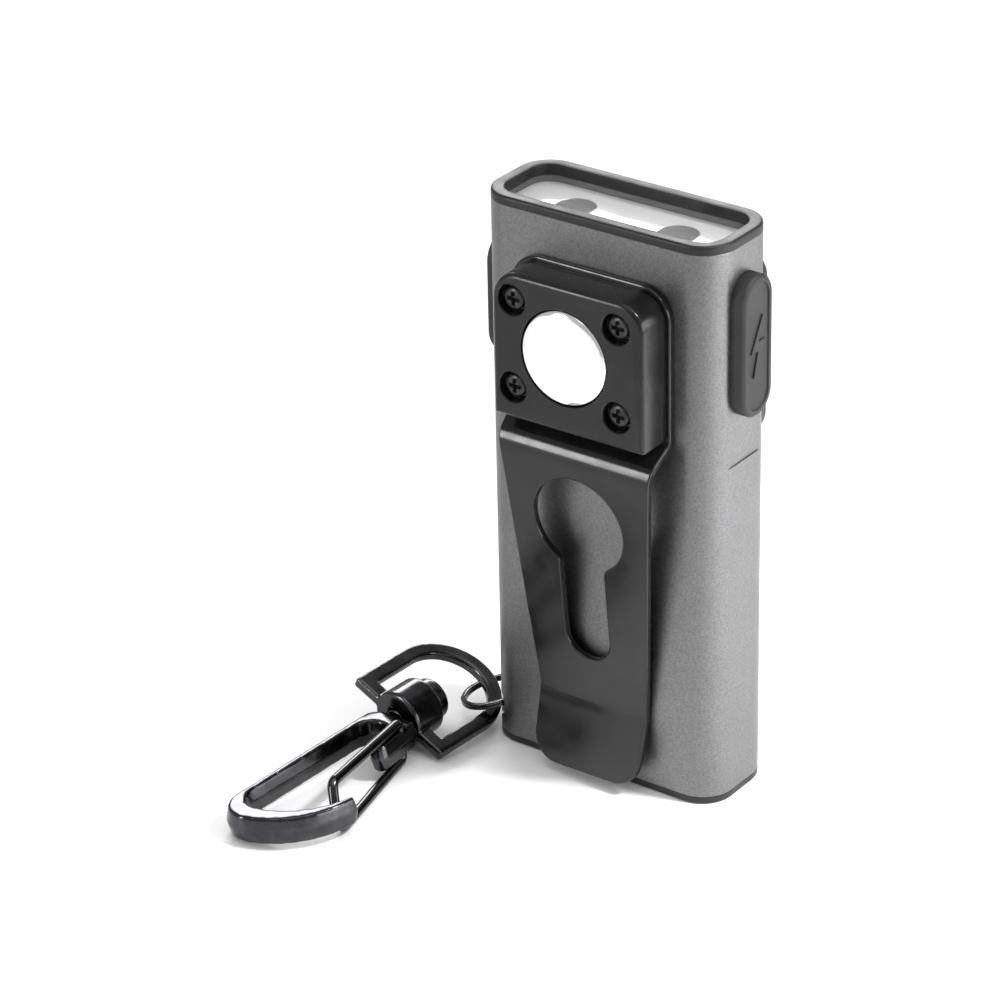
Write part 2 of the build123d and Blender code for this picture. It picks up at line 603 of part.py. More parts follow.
def usb_cover():
    place = Pos(0, PORT_Z)
    cover = through_x(place * stadium(COVER_LENGTH, COVER_WIDTH), COVER_SEAT, COVER_FACE)
    cover = chamfer(cover.faces().sort_by(Axis.X)[-1].edges(), COVER_BEVEL)
    rim = 2 * (COVER_BEVEL + COVER_RIM)
    recess_base = COVER_FACE - COVER_RECESS
    cover -= through_x(place * stadium(COVER_LENGTH - rim, COVER_WIDTH - rim), recess_base, COVER_FACE)
    cover += through_x(place * charge_symbol(), recess_base, recess_base + SYMBOL_HEIGHT)
    tongue = stadium(PORT_LENGTH - 2 * TONGUE_CLEARANCE_END, PORT_WIDTH - 2 * TONGUE_CLEARANCE_SIDE)
    cover += through_x(place * tongue, COVER_SEAT - COVER_TONGUE, COVER_SEAT)
    heel = Box(HINGE_RADIUS, COVER_WIDTH, HINGE_RADIUS, align=(Align.MIN, Align.CENTER, Align.MIN))
    heel = Pos(COVER_SEAT, 0, COVER_BASE) * heel
    barrel = Pos(HINGE_X, 0, HINGE_Z) * Rot(X=90) * Cylinder(HINGE_RADIUS, COVER_WIDTH)
    cover -= heel - barrel
    return cover


def cover_anchor():
    neck = Pos(0, HINGE_Z) * Rectangle(ANCHOR_WIDTH - 2 * HINGE_GAP, ANCHOR_HEIGHT - 2 * HINGE_GAP)
    anchor = through_x(neck, SIDE - WALL, COVER_SEAT - HINGE_GAP)
    wide = 2 * ANCHOR_HEAD_LIP
    head = Pos(0, HINGE_Z) * Rectangle(ANCHOR_WIDTH + wide, ANCHOR_HEIGHT + wide)
    return anchor + through_x(head, SIDE - WALL - ANCHOR_HEAD, SIDE - WALL)


def usb_socket():
    back = SOCKET_MOUTH - SOCKET_LENGTH
    two_walls = 2 * SOCKET_SHELL
    outline = Pos(0, PORT_Z) * rounded(SOCKET_WIDTH, SOCKET_HEIGHT, SOCKET_ROUND)
    shell = through_x(outline, back, SOCKET_MOUTH)
    bore = rounded(SOCKET_WIDTH - two_walls, SOCKET_HEIGHT - two_walls, SOCKET_ROUND - SOCKET_SHELL)
    shell -= through_x(Pos(0, PORT_Z) * bore, back + two_walls, SOCKET_MOUTH)
    blade = Pos(0, PORT_Z) * Rectangle(two_walls, SOCKET_HEIGHT / 2)
    return shell + through_x(blade, back + SOCKET_SHELL, SOCKET_MOUTH - SOCKET_SHELL)


# ---------------------------------------------------------------- flood light
def flood_bezel():
    outline = Pos(0, FLOOD_Z) * rounded(FLOOD_WIDTH, FLOOD_HEIGHT, FLOOD_CORNER)
    frame = through_y(outline, 0, BACK + FLOOD_PROUD)
    frame = fillet(frame.faces().sort_by(Axis.Y)[-1].edges(), FLOOD_EDGE)
    frame -= upright(tube_outline(), CAP_FLANGE, TUBE_TOP)
    gap = 2 * FLOOD_LENS_CLEARANCE
    seat = rounded(FLOOD_LENS_WIDTH + gap, FLOOD_LENS_HEIGHT + gap, FLOOD_LENS_CORNER + gap / 2)
    return frame - through_y(Pos(0, FLOOD_Z) * seat, 0, BACK + FLOOD_PROUD)


def flood_lens():
    outline = Pos(0, FLOOD_Z) * rounded(FLOOD_LENS_WIDTH, FLOOD_LENS_HEIGHT, FLOOD_LENS_CORNER)
    return through_y(outline, FLOOD_LENS_BASE, FLOOD_LENS_FACE)


def flood_seal():
    outline = Pos(0, FLOOD_Z) * rounded(FLOOD_LENS_WIDTH, FLOOD_LENS_HEIGHT, FLOOD_LENS_CORNER)
    seal = through_y(outline, BACK, FLOOD_LENS_BASE)
    window = Pos(0, FLOOD_Z) * rounded(WINDOW_WIDTH, WINDOW_HEIGHT, FLOOD_LENS_CORNER)
    return seal - through_y(window, BACK, FLOOD_LENS_BASE)


def flood_board():
    margin = 2 * FLOOD_BOARD_MARGIN
    outline = Pos(0, FLOOD_Z) * Rectangle(WINDOW_WIDTH + margin, WINDOW_HEIGHT + margin)
    return through_y(outline, FLOOD_BOARD_BASE, FLOOD_BOARD_FACE)


def flood_emitter():
    margin = 2 * EMITTER_MARGIN
    outline = Pos(0, FLOOD_Z) * rounded(WINDOW_WIDTH - margin, WINDOW_HEIGHT - margin, EMITTER_MARGIN)
    return through_y(outline, FLOOD_BOARD_FACE, FLOOD_BOARD_FACE + EMITTER_THICKNESS)


# ---------------------------------------------------------------- inside
def main_board():
    left = -SIDE + SWITCH_BACKSET
    right = SOCKET_MOUTH
    middle = (left + right) / 2
    outline = Pos(middle, (BOARD_TOP + BOARD_BASE) / 2) * Rectangle(right - left, BOARD_LENGTH)
    return through_y(outline, BOARD_FACE, BOARD_BACK)


def board_carrier():
    """A tray between the boards with a shelf that keeps the cell off them."""
    half = CAVITY_WIDTH / 2 - BOARD_SIDE_GAP
    outline = Pos(0, (LIGHT_BOARD_BASE + SHELF_TOP) / 2) * Rectangle(2 * half, LIGHT_BOARD_BASE - SHELF_TOP)
    tray = through_y(outline, BOARD_BACK, FLOOD_BOARD_BASE)
    shelf = upright(inset(SHELF_CLEARANCE), SHELF_BASE, SHELF_TOP)
    for x in (-LEAD_SPACING / 2, LEAD_SPACING / 2):
        passage = Pos(x, BOARD_FACE - LEAD_RADIUS) * Circle(LEAD_RADIUS + LEAD_HOLE_CLEARANCE)
        shelf -= upright(passage, SHELF_BASE, SHELF_TOP)
    return tray + shelf


def battery():
    return upright(rounded(BATTERY_WIDTH, BATTERY_DEPTH, BATTERY_CORNER), BATTERY_BASE, BATTERY_TOP)


def battery_pads():
    pads = []
    low = BATTERY_BASE + PAD_END_MARGIN
    high = BATTERY_TOP - PAD_END_MARGIN
    inner = CAVITY_DEPTH / 2
    outline = Pos(0, (low + high) / 2) * Rectangle(PAD_WIDTH, high - low)
    for front, back in ((-inner, -BATTERY_DEPTH / 2), (BATTERY_DEPTH / 2, inner)):
        pads.append(through_y(outline, front, back))
    return Compound(children=pads)


def battery_leads():
    wires = []
    for x in (-LEAD_SPACING / 2, LEAD_SPACING / 2):
        wire = Pos(x, BOARD_FACE - LEAD_RADIUS) * Circle(LEAD_RADIUS)
        wires.append(upright(wire, BATTERY_TOP, BOARD_BASE + LEAD_OVERLAP))
    return Compound(children=wires)


# ---------------------------------------------------------------- ring, bow and hook
def jump_ring():
    return RING_FRAME * Torus(RING_RADIUS, RING_WIRE)


def bow_outline(half, rise, base):
    """A D shape: square foot, straight sides, elliptical top."""
    top = EllipticalCenterArc((0, BOW_STRAIGHT), half, rise, 0, arc_size=180)
    sides = Polyline(top @ 1, (-half, base), (half, base), top @ 0)
    return make_face(Curve() + [top, sides])


def swivel_bow():
    outer = bow_outline(BOW_HALF, BOW_RISE, -CROSSBAR / 2)
    inner = bow_outline(BOW_HALF - BOW_BAR, BOW_RISE - BOW_BAR, CROSSBAR / 2)
    loop = extrude(outer - inner, BOW_THICKNESS / 2, both=True)
    loop = fillet(loop.faces().filter_by(Axis.Z).edges(), BOW_EDGE)
    boss = through_y(Circle(BOSS_RADIUS), BOSS_NEAR, BOSS_FAR)
    boss = fillet(boss.faces().filter_by(Axis.Y).edges(), BOSS_EDGE)
    bore = through_y(Circle(PIN_RADIUS + PIN_FIT), NECK_Y, RIVET_SEAT)
    return BOW_FRAME * (loop + boss) - HOOK_FRAME * bore


def swivel_pin():
    head = through_y(Circle(RIVET_RADIUS), RIVET_SEAT, RIVET_SEAT + RIVET_HEIGHT)
    head = fillet(head.faces().sort_by(Axis.Y)[-1].edges(), RIVET_ROUND)
    return HOOK_FRAME * (head + through_y(Circle(PIN_RADIUS), NECK_Y, RIVET_SEAT))


def hook_outline():
    """The hook seen from above: shank, round toe, rising nose, then the neck that holds the gate."""
    left = Line((HOOK_LEFT, NECK_Y - HOOK_SHOULDER), (HOOK_LEFT, HOOK_BEND_Y - HOOK_TOE_DROP))
    toe = TangentArc(left @ 1, HOOK_TOE, tangent=(0, -1))
    rise = TangentArc(toe @ 1, NOSE_OUT, tangent=toe % 1)
    middle = (rise @ 1 + Vector(*NOSE_IN)) / 2
    tip = ThreePointArc(rise @ 1, middle + Vector(0, NOSE_ROUND), NOSE_IN)
    inner = Line((HOOK_INNER, HOOK_CROWN_Y), (HOOK_INNER, HOOK_BEND_Y))
    inner_toe = TangentArc(inner @ 1, HOOK_INNER_TOE, tangent=(0, -1))
    inner_rise = TangentArc(inner_toe @ 1, NOSE_IN, tangent=inner_toe % 1)
    crown = TangentArc(inner @ 0, (HOOK_NECK_INNER, HOOK_CROWN_Y), tangent=(0, 1))
    drop = Line(crown @ 1, (HOOK_NECK_INNER, HOOK_HEEL_Y))
    heel = TangentArc(drop @ 1, (HOOK_NECK_INNER + HOOK_HEEL, HOOK_HEEL_Y), tangent=(0, -1))
    neck = Polyline(heel @ 1, (HOOK_NECK_EDGE, NECK_Y), (HOOK_LEFT + HOOK_SHOULDER, NECK_Y), left @ 0)
    return make_face(Curve() + [left, toe, rise, tip, inner_rise, inner_toe, inner, crown, drop, heel, neck])


def snap_hook():
    outline = Pos(0, 0, HOOK_OFFSET) * hook_outline()
    half = HOOK_THICKNESS / 2
    body = extrude(outline, half, taper=HOOK_DRAFT)
    body += extrude(outline, half, dir=(0, 0, -1), taper=HOOK_DRAFT)
    holes = Pos(GATE_PIVOT[0], GATE_PIVOT[1], HOOK_OFFSET)
    depth = GATE_END_DEPTH + GATE_FIT
    for side in (1, -1):
        body -= holes * Pos(0, 0, side * (half - depth / 2)) * Cylinder(GATE_WIRE + GATE_FIT, depth)
    body -= gate_wire(GATE_WIRE + GATE_LEG_GAP)
    return HOOK_FRAME * body


def gate_wire(radius):
    """The gate's bent wire in the hook's own frame: two turned-in ends and a slanted closed end."""
    high = HOOK_OFFSET + LEG_RISE
    low = HOOK_OFFSET - LEG_RISE
    end_high = HOOK_HIGH - GATE_END_DEPTH
    end_low = HOOK_LOW + GATE_END_DEPTH
    path = FilletPolyline(
        (*GATE_PIVOT, end_high), (*GATE_PIVOT, high), (*GATE_UPPER, high),
        (*GATE_LOWER, low), (*GATE_PIVOT, low), (*GATE_PIVOT, end_low),
        radius=[GATE_TURN_IN, GATE_BEND, GATE_BEND, GATE_TURN_IN])
    start = Plane(origin=path @ 0, z_dir=path % 0)
    return sweep(start * Circle(radius), path=path)


def snap_gate():
    return HOOK_FRAME * gate_wire(GATE_WIRE)


# ---------------------------------------------------------------- every node
NODES = {
    "body_tube": body_tube,
    "end_cap": end_cap,
    "front_bezel": front_bezel,
    "lens_seal": lens_seal,
    "lens": lens,
    "reflector": reflector,
    "light_board": light_board,
    "spot_chips": spot_chips,
    "magnet_holder": magnet_holder,
    "magnet": magnet,
    "holder_screws": holder_screws,
    "nut_plate": nut_plate,
    "clip_plate": clip_plate,
    "clip_arm": clip_arm,
    "power_button": power_button,
    "switch_plunger": switch_plunger,
    "push_switch": push_switch,
    "usb_cover": usb_cover,
    "cover_anchor": cover_anchor,
    "usb_socket": usb_socket,
    "flood_bezel": flood_bezel,
    "flood_lens": flood_lens,
    "flood_seal": flood_seal,
    "flood_board": flood_board,
    "flood_emitter": flood_emitter,
    "main_board": main_board,
    "board_carrier": board_carrier,
    "battery": battery,
    "battery_pads": battery_pads,
    "battery_leads": battery_leads,
    "jump_ring": jump_ring,
    "swivel_bow": swivel_bow,
    "swivel_pin": swivel_pin,
    "snap_hook": snap_hook,
    "snap_gate": snap_gate,
}

if __name__ == "__main__":
    os.makedirs("parts", exist_ok=True)
    for name, make in NODES.items():
        export_step(make(), "parts/" + name + ".step")
        print(name)
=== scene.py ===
import json
import math

import bmesh
import bpy
from mathutils import Matrix, Vector


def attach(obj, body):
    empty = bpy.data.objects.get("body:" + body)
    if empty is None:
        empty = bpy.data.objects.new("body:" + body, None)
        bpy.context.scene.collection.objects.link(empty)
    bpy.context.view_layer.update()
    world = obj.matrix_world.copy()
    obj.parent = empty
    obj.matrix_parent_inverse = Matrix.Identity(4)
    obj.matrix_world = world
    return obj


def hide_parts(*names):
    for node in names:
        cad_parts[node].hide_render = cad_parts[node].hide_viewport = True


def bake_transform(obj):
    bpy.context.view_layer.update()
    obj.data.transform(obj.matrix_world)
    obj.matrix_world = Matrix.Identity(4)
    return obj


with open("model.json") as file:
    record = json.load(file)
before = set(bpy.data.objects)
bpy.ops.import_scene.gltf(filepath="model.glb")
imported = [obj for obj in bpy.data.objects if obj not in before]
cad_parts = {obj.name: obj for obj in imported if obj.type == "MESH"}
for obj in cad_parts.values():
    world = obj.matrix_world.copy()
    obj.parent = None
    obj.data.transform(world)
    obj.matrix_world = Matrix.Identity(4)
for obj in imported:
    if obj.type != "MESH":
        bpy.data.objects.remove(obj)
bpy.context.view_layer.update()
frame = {"nodes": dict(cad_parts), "record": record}
nodes = frame["nodes"]
scene = bpy.context.scene
mm = 0.001
print("flashlight frame loaded,", len(nodes), "solids")

# camera first: a long lens, from the magnet side, a little above and to the right
view = {"turn": 36.56, "rise": 27.2, "roll": -1.21, "distance": 442.5,
        "target": (-16.03, 0.0, 24.64), "lens": 153.64, "sensor": 36}


def makeCamera():
    turn, rise, roll = (math.radians(view[k]) for k in ("turn", "rise", "roll"))
    back = Vector((math.sin(turn) * math.cos(rise), -math.cos(turn) * math.cos(rise), math.sin(rise)))
    level = Vector((math.cos(turn), math.sin(turn), 0))
    lift = back.cross(level)
    right = level * math.cos(roll) + lift * math.sin(roll)
    up = back.cross(right)
    data = bpy.data.cameras.new("productCamera")
    data.lens = view["lens"]
    data.sensor_width = view["sensor"]
    data.clip_start = 0.01
    data.clip_end = 20
    camera = bpy.data.objects.new("productCamera", data)
    scene.collection.objects.link(camera)
    place = Matrix((right, up, back)).transposed().to_4x4()
    place.translation = (Vector(view["target"]) + back * view["distance"]) * mm
    camera.matrix_world = place
    scene.camera = camera


makeCamera()

# ---- shape helpers, all sizes in millimetres ----


def upright(u, v, w):        # outline seen from above, levels go up
    return Vector((u, v, w))


def facingFront(u, v, w):    # outline in width and height, levels go towards the back
    return Vector((u, w, v))


def facingSide(u, v, w):     # outline in depth and height, levels go across the width
    return Vector((w, u, v))


def newPiece(name, points, faces):
    mesh = bpy.data.meshes.new(name)
    mesh.from_pydata([Vector(p) * mm for p in points], [], faces)
    mesh.validate()
    piece = bpy.data.objects.new(name, mesh)
    scene.collection.objects.link(piece)
    return piece


def tidyNormals(piece, sharpAngle=32):
    shape = bmesh.new()
    shape.from_mesh(piece.data)
    bmesh.ops.remove_doubles(shape, verts=shape.verts, dist=2e-7)
    bmesh.ops.dissolve_degenerate(shape, edges=shape.edges, dist=1e-7)
    bmesh.ops.recalc_face_normals(shape, faces=shape.faces)
    for face in shape.faces:
        face.smooth = True
    shape.to_mesh(piece.data)
    shape.free()
    piece.data.set_sharp_from_angle(angle=math.radians(sharpAngle))


def roundedOutline(left, right, low, high, corners, inset=0.0, steps=9):
    # corners: radii from the low right one, going round to the low left one
    spots = ((right, low, -90), (right, high, 0), (left, high, 90), (left, low, 180))
    points = []
    for (u, v, begin), radius in zip(spots, corners):
        radius = max(radius, inset + 0.02)
        cu = u - math.copysign(radius, u - (left + right) / 2)
        cv = v - math.copysign(radius, v - (low + high) / 2)
        for i in range(steps + 1):
            angle = math.radians(begin + 90 * i / steps)
            points.append((cu + (radius - inset) * math.cos(angle), cv + (radius - inset) * math.sin(angle)))
    return points


def evenOutline(width, height, corner, middle=(0.0, 0.0), steps=9):
    u, v = middle
    left, right, low, high = u - width / 2, u + width / 2, v - height / 2, v + height / 2
    return lambda inset: roundedOutline(left, right, low, high, (corner,) * 4, inset, steps)


def slotOutline(length, width, middle=(0.0, 0.0)):
    return evenOutline(width, length, width / 2 - 0.001, middle, steps=14)


def stack(name, outline, levels, turn, hollow=False):
    # Rings of one outline at (inset, level) pairs, joined by quads
    points, faces = [], []
    rings = [outline(inset) for inset, _ in levels]
    count = len(rings[0])
    for ring, (_, level) in zip(rings, levels):
        points += [turn(u, v, level) for u, v in ring]
    pairs = [(i, i + 1) for i in range(len(levels) - 1)]
    if hollow:
        pairs.append((len(levels) - 1, 0))
    for a, b in pairs:
        for i in range(count):
            j = (i + 1) % count
            faces.append((a * count + i, a * count + j, b * count + j, b * count + i))
    if not hollow:
        faces.append(tuple(range(count)))
        faces.append(tuple(range((len(levels) - 1) * count, len(levels) * count)))
    return newPiece(name, points, faces)


def turned(name, profile, turn, middle, steps=64):
    # A lathe shape: (radius, level) pairs about an axis through middle
    points, faces = [], []
    for radius, level in profile:
        for i in range(steps):
            angle = 2 * math.pi * i / steps
            u = middle[0] + radius * math.cos(angle)
            v = middle[1] + radius * math.sin(angle)
            points.append(turn(u, v, level))
    for a in range(len(profile) - 1):
        for i in range(steps):
            j = (i + 1) % steps
            faces.append((a * steps + i, a * steps + j, (a + 1) * steps + j, (a + 1) * steps + i))
    faces.append(tuple(range(steps)))
    faces.append(tuple(range((len(profile) - 1) * steps, len(profile) * steps)))
    return newPiece(name, points, faces)


def latheRing(name, profile, middle, steps=72):
    # a closed section turned about an upright axis, open through the middle
    points, faces = [], []
    count = len(profile)
    for i in range(steps):
        angle = 2 * math.pi * i / steps
        points += [(middle[0] + r * math.cos(angle), middle[1] + r * math.sin(angle), z) for r, z in profile]
        j = (i + 1) % steps
        for k in range(count):
            n = (k + 1) % count
            faces.append((i * count + k, j * count + k, j * count + n, i * count + n))
    return newPiece(name, points, faces)


def roundEdge(inset, level, radius, direction, steps=4):
    # Levels of a quarter round: from the side wall over onto the face at level
    found = []
    for i in range(steps + 1):
        angle = math.pi / 2 * i / steps
        side = inset + radius * (1 - math.cos(angle))
        found.append((side, level - direction * radius * (1 - math.sin(angle))))
    return found


def applied(piece):
    # Keeps what the modifiers make
    bpy.context.view_layer.update()
    graph = bpy.context.evaluated_depsgraph_get()
    mesh = bpy.data.meshes.new_from_object(piece.evaluated_get(graph))
    piece.modifiers.clear()
    piece.data = mesh
    return piece


def cutAway(piece, *cutters):
    tidyNormals(piece)
    for cutter in cutters:
        tidyNormals(cutter)
        cut = piece.modifiers.new("cut", "BOOLEAN")
        cut.operation = "DIFFERENCE"
        cut.solver = "EXACT"
        cut.object = cutter
        applied(piece)
        bpy.data.objects.remove(cutter)
    return piece


def join(name, pieces):
    shape = bmesh.new()
    for piece in pieces:
        shape.from_mesh(piece.data)
        bpy.data.objects.remove(piece)
    mesh = bpy.data.meshes.new(name)
    shape.to_mesh(mesh)
    shape.free()
    joined = bpy.data.objects.new(name, mesh)
    scene.collection.objects.link(joined)
    return joined


def castCopy(nodeName, name, voxel, passes):
    # A cast look for a small metal part: its own solid with every edge softened
    piece = bpy.data.objects.new(name, nodes[nodeName].data.copy())
    scene.collection.objects.link(piece)
    piece.data.materials.clear()
    remesh = piece.modifiers.new("skin", "REMESH")
    remesh.mode = "VOXEL"
    remesh.voxel_size = voxel * mm
    soften = piece.modifiers.new("soften", "SMOOTH")
    soften.factor = 0.5
    soften.iterations = passes
    return applied(piece)


def sweep(name, path, section, up):
    # a section of u, v points carried along a path; up fixes its roll
    points, faces = [], []
    total, count = len(path), len(section)
    for k, here in enumerate(path):
        before, after = path[max(k - 1, 0)], path[min(k + 1, total - 1)]
        along = (after - before).normalized()
        side = along.cross(up(k) if callable(up) else up).normalized()
        top = side.cross(along).normalized()
        points += [here + side * u + top * v for u, v in section]
    for k in range(total - 1):
        for i in range(count):
            j = (i + 1) % count
            faces.append((k * count + i, k * count + j, (k + 1) * count + j, (k + 1) * count + i))
    faces.append(tuple(range(count)))
    faces.append(tuple(range((total - 1) * count, total * count)))
    return newPiece(name, points, faces)


def roundSection(radius, steps=20):
    angles = [2 * math.pi * i / steps for i in range(steps)]
    return [(radius * math.cos(a), radius * math.sin(a)) for a in angles]


def bentPath(corners, radii, steps=8):
    # Straight runs joined by arcs; one radius for each inner corner
    path = [Vector(corners[0])]
    for i, radius in enumerate(radii, start=1):
        a, b, c = (Vector(corners[k]) for k in (i - 1, i, i + 1))
        inward = (a - b).normalized()
        onward = (c - b).normalized()
        half = inward.angle(onward) / 2
        reach = radius / math.tan(half)
        centre = b + (inward + onward).normalized() * (radius / math.sin(half))
        start = b + inward * reach - centre
        finish = b + onward * reach - centre
        sweepAngle = start.angle(finish)
        for k in range(steps + 1):
            t = k / steps
            share = math.sin((1 - t) * sweepAngle), math.sin(t * sweepAngle)
            path.append(centre + (start * share[0] + finish * share[1]) / math.sin(sweepAngle))
    path.append(Vector(corners[-1]))
    return path


# ---- finishes ----


def newFinish(name, colour, roughness, metallic=0.0, **sockets):
    material = bpy.data.materials.new(name)
    material.use_nodes = True
    shader = material.node_tree.nodes["Principled BSDF"]
    shader.inputs["Base Color"].default_value = (*colour, 1)
    shader.inputs["Roughness"].default_value = roughness
    shader.inputs["Metallic"].default_value = metallic
    for socket, value in sockets.items():
        shader.inputs[socket.replace("_", " ")].default_value = value
    return material


def addNode(material, kind, **settings):
    node = material.node_tree.nodes.new(kind)
    for key, value in settings.items():
        node.inputs[key].default_value = value
    return node


def grain(material, scale, detail=3.0):
    tree = material.node_tree
    where = addNode(material, "ShaderNodeTexCoord")
    noise = addNode(material, "ShaderNodeTexNoise", Scale=scale, Detail=detail)
    tree.links.new(where.outputs["Object"], noise.inputs["Vector"])
    return noise


def colourSpread(material, noise, darker, lighter, low=0.35, high=0.65):
    tree = material.node_tree
    ramp = addNode(material, "ShaderNodeValToRGB")
    ramp.color_ramp.elements[0].position = low
    ramp.color_ramp.elements[1].position = high
    ramp.color_ramp.elements[0].color = (*darker, 1)
    ramp.color_ramp.elements[1].color = (*lighter, 1)
    tree.links.new(noise.outputs["Fac"], ramp.inputs["Fac"])
    tree.links.new(ramp.outputs["Color"], tree.nodes["Principled BSDF"].inputs["Base Color"])


def roughSpread(material, noise, low, high):
    tree = material.node_tree
    spread = addNode(material, "ShaderNodeMapRange")
    spread.inputs["From Min"].default_value = 0.3
    spread.inputs["From Max"].default_value = 0.7
    spread.inputs["To Min"].default_value = low
    spread.inputs["To Max"].default_value = high
    tree.links.new(noise.outputs["Fac"], spread.inputs["Value"])
    tree.links.new(spread.outputs["Result"], tree.nodes["Principled BSDF"].inputs["Roughness"])


def bumps(material, noise, height, strength=1.0):
    tree = material.node_tree
    bump = addNode(material, "ShaderNodeBump")
    bump.inputs["Strength"].default_value = strength
    bump.inputs["Distance"].default_value = height * mm
    tree.links.new(noise.outputs["Fac"], bump.inputs["Height"])
    tree.links.new(bump.outputs["Normal"], tree.nodes["Principled BSDF"].inputs["Normal"])


def anodisedSkin():        # bead-blasted grey aluminium
    material = newFinish("anodisedSkin", (0.17, 0.17, 0.17), 0.42, 1.0)
    fine = grain(material, 5200, 2.0)
    broad = grain(material, 240, 3.0)
    colourSpread(material, fine, (0.14, 0.14, 0.142), (0.2, 0.2, 0.203), 0.3, 0.7)
    roughSpread(material, broad, 0.38, 0.46)
    bumps(material, fine, 0.02, 0.55)
    return material


def mouldedBlack(name, colour, low, high, scale, height, strength, shine=0.38):
    material = newFinish(name, colour, (low + high) / 2, Specular_IOR_Level=shine)
    fine = grain(material, scale, 3.0)
    broad = grain(material, 350, 2.0)
    darker = tuple(c * 0.8 for c in colour)
    lighter = tuple(c * 1.35 for c in colour)
    colourSpread(material, broad, darker, lighter)
    roughSpread(material, broad, low, high)
    bumps(material, fine, height, strength)
    return material


def coatedSteel():        # semi-gloss black over spring steel
    material = newFinish("coatedSteel", (0.005, 0.005, 0.0052), 0.2, 0.0, IOR=1.5, Specular_IOR_Level=0.4)
    fine = grain(material, 2600, 3.0)
    colourSpread(material, grain(material, 300), (0.004, 0.004, 0.0042), (0.008, 0.008, 0.0084))
    roughSpread(material, grain(material, 500), 0.15, 0.22)
    bumps(material, fine, 0.006, 0.5)
    return material


def platedMetal(name, darker, lighter, low, high, scale=900, height=0.004):
    material = newFinish(name, lighter, low, 1.0)
    broad = grain(material, scale, 3.0)
    colourSpread(material, broad, darker, lighter)
    roughSpread(material, broad, low, high)
    bumps(material, broad, height, 0.35)
    return material


def clearPlastic(name, tint, low, high):
    material = newFinish(name, tint, low, 0.0, IOR=1.49, Transmission_Weight=1.0)
    roughSpread(material, grain(material, 600), low, high)
    return material


def plainSurface(name, darker, lighter, low, high, scale=800, height=0.01, metallic=0.0):
    material = newFinish(name, lighter, low, metallic)
    noise = grain(material, scale, 3.0)
    colourSpread(material, noise, darker, lighter)
    roughSpread(material, noise, low, high)
    bumps(material, noise, height, 0.4)
    return material


finishes = {
    "anodised_tube": anodisedSkin(),
    "black_plastic": mouldedBlack("mattPlastic", (0.01, 0.01, 0.0104), 0.38, 0.5, 2600, 0.018, 0.6),
    "black_rubber": mouldedBlack("sealRubber", (0.015, 0.015, 0.015), 0.65, 0.8, 2000, 0.02, 0.6),
    "clear_lens": clearPlastic("clearLens", (0.97, 0.98, 0.98), 0.0, 0.03),
    "mirror_reflector": plainSurface("mirrorReflector", (0.9, 0.9, 0.91), (0.94, 0.94, 0.94),
                                     0.06, 0.12, 400, 0.001, 0.45),
    "white_board": plainSurface("whiteBoard", (0.78, 0.78, 0.76), (0.86, 0.86, 0.84), 0.3, 0.42),
    "led_phosphor": plainSurface("phosphor", (0.86, 0.72, 0.2), (0.95, 0.83, 0.32),
                                 0.35, 0.5, 2500, 0.01),
    "black_gloss_plastic": mouldedBlack("glossPlastic", (0.005, 0.005, 0.0053),
                                        0.2, 0.29, 1800, 0.008, 0.45),
    "nickel_magnet": platedMetal("nickelDisc", (0.95, 0.95, 0.95), (0.98, 0.98, 0.98),
                                 0.1, 0.13, 500, 0.0005),
    "black_screw": plainSurface("blackenedScrew", (0.02, 0.02, 0.02), (0.05, 0.05, 0.052),
                                0.24, 0.36, 2200, 0.01, 0.5),
    "zinc_plate": plainSurface("zincPlate", (0.5, 0.5, 0.52), (0.62, 0.62, 0.63),
                               0.3, 0.45, 700, 0.01, 1.0),
    "black_clip": coatedSteel(),
    "grey_rubber": mouldedBlack("coverRubber", (0.018, 0.018, 0.0185), 0.5, 0.66, 2400, 0.02, 0.55),
    "white_plastic": plainSurface("whitePlastic", (0.72, 0.72, 0.7), (0.8, 0.8, 0.78), 0.4, 0.55),
    "socket_steel": plainSurface("tinnedSteel", (0.55, 0.55, 0.57), (0.66, 0.66, 0.67),
                                 0.25, 0.38, 900, 0.008, 1.0),
    "green_board": plainSurface("greenBoard", (0.015, 0.13, 0.05), (0.025, 0.19, 0.075),
                                0.3, 0.42, 900, 0.01),
    "cell_wrap": plainSurface("foilPouch", (0.52, 0.53, 0.56), (0.64, 0.65, 0.68),
                              0.28, 0.42, 500, 0.03, 0.9),
    "lead_insulation": plainSurface("redInsulation", (0.4, 0.01, 0.01), (0.55, 0.02, 0.02),
                                    0.35, 0.45),
    "black_nickel": platedMetal("blackNickel", (0.05, 0.05, 0.052), (0.075, 0.075, 0.078),
                                0.13, 0.22, 600, 0.006),
}
slotOf = {part["node"]: part["material_slot"] for part in frame["record"]["subparts"]}
for nodeName, solid in nodes.items():        # carried-over solids get their finish
    solid.data.materials.clear()
    solid.data.materials.append(finishes[slotOf[nodeName]])
print("finishes ready,", len(finishes))


def settle(piece, slotName, body, *replaced, sharpAngle=32, finish=None):
    # The last step for each piece: normals, finish, body and the solids it stands for
    tidyNormals(piece, sharpAngle)
    piece.data.materials.clear()
    piece.data.materials.append(finish or finishes[slotName])
    if body:
        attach(piece, body)
    if replaced:
        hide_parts(*replaced)
    return piece


